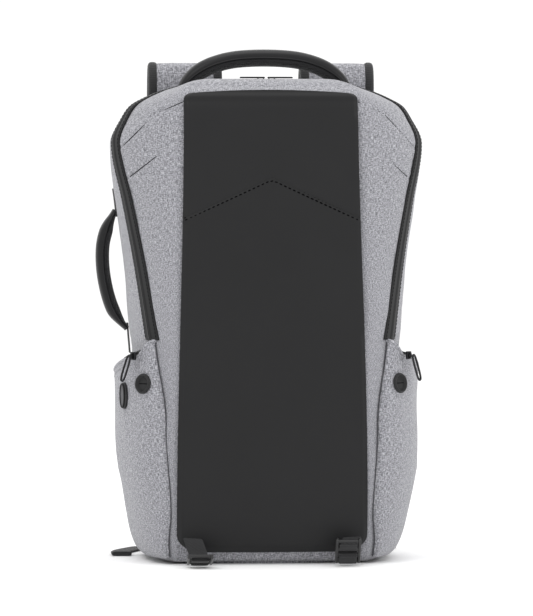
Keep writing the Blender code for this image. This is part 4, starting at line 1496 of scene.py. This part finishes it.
# %% Lash straps
for side, word in ((-1, "left"), (1, "right")):
    low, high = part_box(f"lash_webbing_{word}")
    x = (low.x + high.x) / 2
    path = route_through(
        [
            (x + side * 8 * MM, -profile(0.034 / HEIGHT)[1] - 1.0 * MM, 0.034),
            (x + side * 5 * MM, high.y - 1.5 * MM, 0.024),
            (x + side * 1 * MM, high.y - 6.5 * MM, 0.013),
            (x, low.y + 1.5 * MM, low.z + 1.6 * MM),
        ]
    )
    webbing = woven(f"lash_webbing_{word}_tape", path, (1, 0, 0), 18 * MM, 1.5 * MM, 1.5 * MM)
    settle(webbing, "pack", (f"lash_webbing_{word}",))
    hinge = Vector(next(j for j in frame["joints"] if j["name"] == f"lash_buckle_{word}_hinge")["pos_m"])
    low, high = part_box(f"lash_buckle_{word}")
    tilt = math.radians(18 if side < 0 else 60)
    along = Vector((0, -math.cos(tilt), math.sin(tilt)))
    at = frame_of(hinge, along.cross(Vector((1, 0, 0))), along)
    lock = ladder_lock(f"lash_lock_{word}", at, high.x - low.x, 28 * MM, side > 0)
    settle(lock, f"lash_buckle_{word}", (f"lash_buckle_{word}",))
    turn = [(0, -2.0), (8, -2.9), (10.5, 0), (12.5, 2.8), (18, 2.9), (20.5, 0), (22, -2.6), (17, -3.1)]
    wrap = route_through([at @ Vector((0, a * MM, b * MM)) for a, b in turn])
    weave = woven(f"lash_wrap_{word}", wrap, (1, 0, 0), 17.5 * MM, 1.3 * MM, 1 * MM)
    settle(weave, f"lash_buckle_{word}")
print("lash straps placed")

# %% [markdown]
# ## Back padding
# The wearer's side has two tall pads with an air channel between them, over a wide lumbar pad.
# Each is foam in spacer mesh. A short cloth simulation with a little pressure inside rounds the
# faces between the sewn edges.


# %% Back pads
def puffed(made, most=3.2 * MM):
    """Inflates a closed piece like a filled cushion, no further than the given distance."""
    remesh = made.modifiers.new("Even cloth", "REMESH")
    remesh.mode = "VOXEL"
    remesh.voxel_size = 5 * MM
    graph = bpy.context.evaluated_depsgraph_get()
    even = bpy.data.meshes.new_from_object(made.evaluated_get(graph))
    made.modifiers.clear()
    made.data = even
    cloth = made.modifiers.new("Cloth", "CLOTH")
    cloth.settings.quality = 4
    cloth.settings.use_pressure = True
    cloth.settings.uniform_pressure_force = 4.0
    cloth.settings.effector_weights.gravity = 0.0
    cloth.point_cache.frame_start, cloth.point_cache.frame_end = 1, 20
    for step in range(1, 21):
        bpy.context.scene.frame_set(step)
    graph = bpy.context.evaluated_depsgraph_get()
    blown = bpy.data.meshes.new_from_object(made.evaluated_get(graph))
    for before, after in zip(even.vertices, blown.vertices):
        move = after.co - before.co
        before.co += move if move.length < most else move.normalized() * most
    made.modifiers.clear()
    bpy.context.scene.frame_set(1)
    bpy.data.meshes.remove(blown)
    bm = bmesh.new()
    bm.from_mesh(even)
    bmesh.ops.subdivide_edges(bm, edges=bm.edges[:], cuts=1, use_grid_fill=True, smooth=0.6)
    axes = {"use_axis_x": True, "use_axis_y": True, "use_axis_z": True}
    bmesh.ops.smooth_vert(bm, verts=bm.verts[:], factor=0.5, **axes)
    bm.to_mesh(even)
    bm.free()
    even.shade_smooth()


def back_pad(name, node, channels):
    """One pad, laid against the back, with sewn channels across it."""
    low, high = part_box(node)
    trim = 2.2 * MM
    made = box_piece(
        name,
        (low.x + trim, high.y - 10 * MM + trim, low.z + trim),
        (high.x - trim, high.y - trim, high.z - trim),
        3.5 * MM,
        [air_mesh],
        4,
    )
    puffed(made)
    for vertex in made.data.vertices:
        back = profile(vertex.co.z / HEIGHT)[2]
        pull = sum(math.exp(-(((vertex.co.z - z) / (3 * MM)) ** 2)) for z in channels)
        outer = smooth(high.y - 6 * MM, high.y - 1 * MM, vertex.co.y)
        vertex.co.y += back - (high.y - 11 * MM) - 3.2 * MM * min(pull, 1) * outer
    made.data.materials.clear()
    made.data.materials.append(air_mesh)
    settle(made, "pack", (node,))


pad_low, pad_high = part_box("back_pad_left")
channels = [pad_low.z + (pad_high.z - pad_low.z) * k / 4 for k in (1, 2, 3)]
for word in ("left", "right"):
    back_pad(f"back_pad_{word}_foam", f"back_pad_{word}", channels)
back_pad("lumbar_pad_foam", "lumbar_pad", [])
print("back pads done")

# %% [markdown]
# ## The base
# The base is a separate panel of the same canvas over a firm sheet, sewn to the body all round.


# %% Base panel
def base_point(u, v):
    a, b = 2 * u - 1, 2 * v - 1
    x = a * math.sqrt(1 - 0.42 * b * b)
    y = b * math.sqrt(1 - 0.42 * a * a)
    reach_x, front, back = 0.655 * HALF_WIDTH, 0.70 * FRONT_DEPTH, 0.72 * BACK_DEPTH
    edge = max(abs(a), abs(b))
    height = 4.0 * MM - 0.8 * MM * smooth(0.9, 1, edge)
    return Vector((x * reach_x * 1.05, -front + (front + back) * (y * 1.05 + 1) / 2, height))


base = grid_piece("base_canvas", 48, 32, base_point, (0.22, 0.12), [grey_canvas])
if base.data.polygons[0].normal.z < 0:
    base.data.flip_normals()
thicken(base, 3.6 * MM)
settle(base, "pack", ("base_panel",))

# %% [markdown]
# ## Inside the sleeve and the main space
# A thin solar panel slides into the sleeve behind the cover, through the open right side. Its
# cells are dark silicon squares under a glossy laminate, joined by fine tinned ribbons. The panel's
# own lead to the controller inside the front is left out, because the panel slides. A power bank by
# the left wall feeds the charging port through a short lead.

# %% Solar panel
laminate, _ = new_material("solar_laminate_film", "#0b0d16", 0.12, Coat_Weight=0.6, Specular_IOR_Level=0.6)
silicon, _ = new_material("dark_silicon", "#0d1430", 0.18, Coat_Weight=1.0)
tin, _ = new_material("tinned_ribbon", "#b9bcc0", 0.3, metallic=1.0)
panel_low, panel_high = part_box("solar_panel")
gap_middle = 0.5 * (COVER_STANDOFF - 0.1 * MM)
panel_foot = Vector((0, -profile(panel_low.z / HEIGHT)[1] - gap_middle, panel_low.z))
panel_top = Vector((0, -profile(panel_high.z / HEIGHT)[1] - gap_middle, panel_high.z))
panel_at = frame_of(panel_foot, (panel_top - panel_foot).cross(Vector((-1, 0, 0))), panel_top - panel_foot)
panel_length = (panel_top - panel_foot).length
half_panel = panel_high.x
low, high = (-half_panel, 0, -0.5 * MM), (half_panel, panel_length, 0.5 * MM)
parts = [box_piece("film", low, high, 0.4 * MM, [laminate], 2, panel_at)]
columns, rows = 4, 5
cell = 36.5 * MM
pitch = 38.2
for i in range(columns):
    for j in range(rows):
        x = (i - (columns - 1) / 2) * pitch * MM
        y = panel_length / 2 + (j - (rows - 1) / 2) * pitch * MM
        low, high = (x - cell / 2, y - cell / 2, 0.45 * MM), (x + cell / 2, y + cell / 2, 0.62 * MM)
        parts.append(box_piece("cell", low, high, 0.08 * MM, [silicon], 1, panel_at))
    for offset in (-9 * MM, 9 * MM):
        x = (i - (columns - 1) / 2) * pitch * MM + offset
        low, high = (x - 0.5 * MM, 5 * MM, 0.6 * MM), (x + 0.5 * MM, panel_length - 5 * MM, 0.68 * MM)
        parts.append(box_piece("ribbon", low, high, 0.03 * MM, [tin], 1, panel_at))
panel = join_pieces("solar_panel_laminate", parts)
settle(panel, "solar_panel", ("solar_panel",))
tab_low, tab_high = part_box("panel_tab")
middle = (tab_low + tab_high) / 2
tab_ends = (half_panel - 4 * MM, half_panel + 2.4 * MM)
tab_path = route_through([(x, middle.y, middle.z) for x in tab_ends])
tab = woven("panel_pull_tab", tab_path, (0, 0, 1), 20 * MM, 1.0 * MM, 0.8 * MM)
settle(tab, "solar_panel", ("panel_tab",))
print("solar panel:", columns * rows, "cells")

# %% Controller, power bank, lead, divider and frame sheet
housing, _ = new_material("moulded_matt_housing", "#1f2022", 0.5)
light, _ = new_material("small_green_lamp", "#2f6f45", 0.4, Emission_Strength=0.2)
low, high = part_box("charge_controller")
case = box_piece("case", low, high, 2 * MM, [housing], 4)
socket_low = (-6.5 * MM, low.y + 2.2 * MM, low.z - 0.15 * MM)
socket_high = (6.5 * MM, high.y - 2.2 * MM, low.z + 1 * MM)
socket = box_piece("socket", socket_low, socket_high, 0.5 * MM, [plated], 2)
lamp_z = (low.z + high.z) / 2
lamp_low = (-1.2 * MM, high.y - 0.4 * MM, lamp_z)
lamp_high = (1.2 * MM, high.y + 0.25 * MM, lamp_z + 2 * MM)
lamp = box_piece("lamp", lamp_low, lamp_high, 0.2 * MM, [light], 2)
controller = join_pieces("charge_controller_case", [case, socket, lamp])
settle(controller, "main_flap", ("charge_controller",))

low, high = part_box("power_bank")
case = box_piece("case", low, high, 4 * MM, [housing], 5)
parts = [case]
for k in range(4):
    y = low.y + (12 + 5 * k) * MM
    lamp_low = (high.x - 0.3 * MM, y, high.z - 12 * MM)
    lamp_high = (high.x + 0.2 * MM, y + 2 * MM, high.z - 10 * MM)
    parts.append(box_piece("lamp", lamp_low, lamp_high, 0.15 * MM, [light], 1))
for y in (low.y + 20 * MM, high.y - 14 * MM):
    socket_low = (low.x + 5 * MM, y - 6 * MM, high.z - 1 * MM)
    socket_high = (high.x - 5 * MM, y + 6 * MM, high.z + 0.15 * MM)
    parts.append(box_piece("socket", socket_low, socket_high, 0.4 * MM, [plated], 2))
bank = join_pieces("power_bank_case", parts)
settle(bank, "pack", ("power_bank",))

bank_x, bank_y = (low.x + high.x) / 2, (low.y + high.y) / 2
normal = port_at.to_3x3() @ Vector((0, 0, 1))
socket_point = port_at.translation
lead_points = [
    Vector((bank_x, bank_y, high.z - 0.5 * MM)),
    Vector((bank_x, bank_y, high.z + 8 * MM)),
    Vector((bank_x, bank_y - 2 * MM, high.z + 18 * MM)),
    socket_point - normal * 37 * MM,
    socket_point - normal * 30 * MM,
    socket_point - normal * 15 * MM,
    socket_point - normal * 1.0 * MM,
]
lead_path = route_through(lead_points)
lead = swept("charging_lead", lead_path, (0, 1, 0.01), 4 * MM, 4 * MM, [rubber], 2.0, 16, 1 * MM)
settle(lead, "pack", ("charging_cable",))

low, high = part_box("laptop_divider")
divider = box_piece("laptop_divider_foam", low, high, 2.4 * MM, [lining], 4)
settle(divider, "pack", ("laptop_divider",))
middle_y = (low.y + high.y) / 2
edge = route_through([(x, middle_y, high.z - 1 * MM) for x in (low.x + 2 * MM, 0, high.x - 2 * MM)])
binding = swept("laptop_divider_binding", edge, (0, 1, 0), 7.6 * MM, 9 * MM, [black_webbing], 3.0, 20, 3 * MM)
settle(binding, "pack")
sheet_plastic, _ = new_material("polyethylene_frame_sheet", "#3a3b3d", 0.45)
low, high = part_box("frame_sheet")
stiffener = box_piece("frame_sheet_plastic", low, high, 0.5 * MM, [sheet_plastic], 2)
settle(stiffener, "pack", ("frame_sheet",))
print("inner pieces placed")

# %% [markdown]
# ## The floor
# A plain pale floor that runs on to the horizon, with a soft shadow under the pack.

# %% Floor and surroundings
floor_material, _ = new_material("white_studio_floor", "#ffffff", 0.9)
bm = bmesh.new()
bmesh.ops.create_grid(bm, x_segments=1, y_segments=1, size=12)
floor = piece("floor", bm, [floor_material])
world = bpy.data.worlds.new("Studio")
bpy.context.scene.world = world
world.use_nodes = True
world.node_tree.nodes["Background"].inputs["Color"].default_value = (1, 1, 1, 1)
world.node_tree.nodes["Background"].inputs["Strength"].default_value = 1.06
bpy.context.scene.view_settings.view_transform = "Standard"
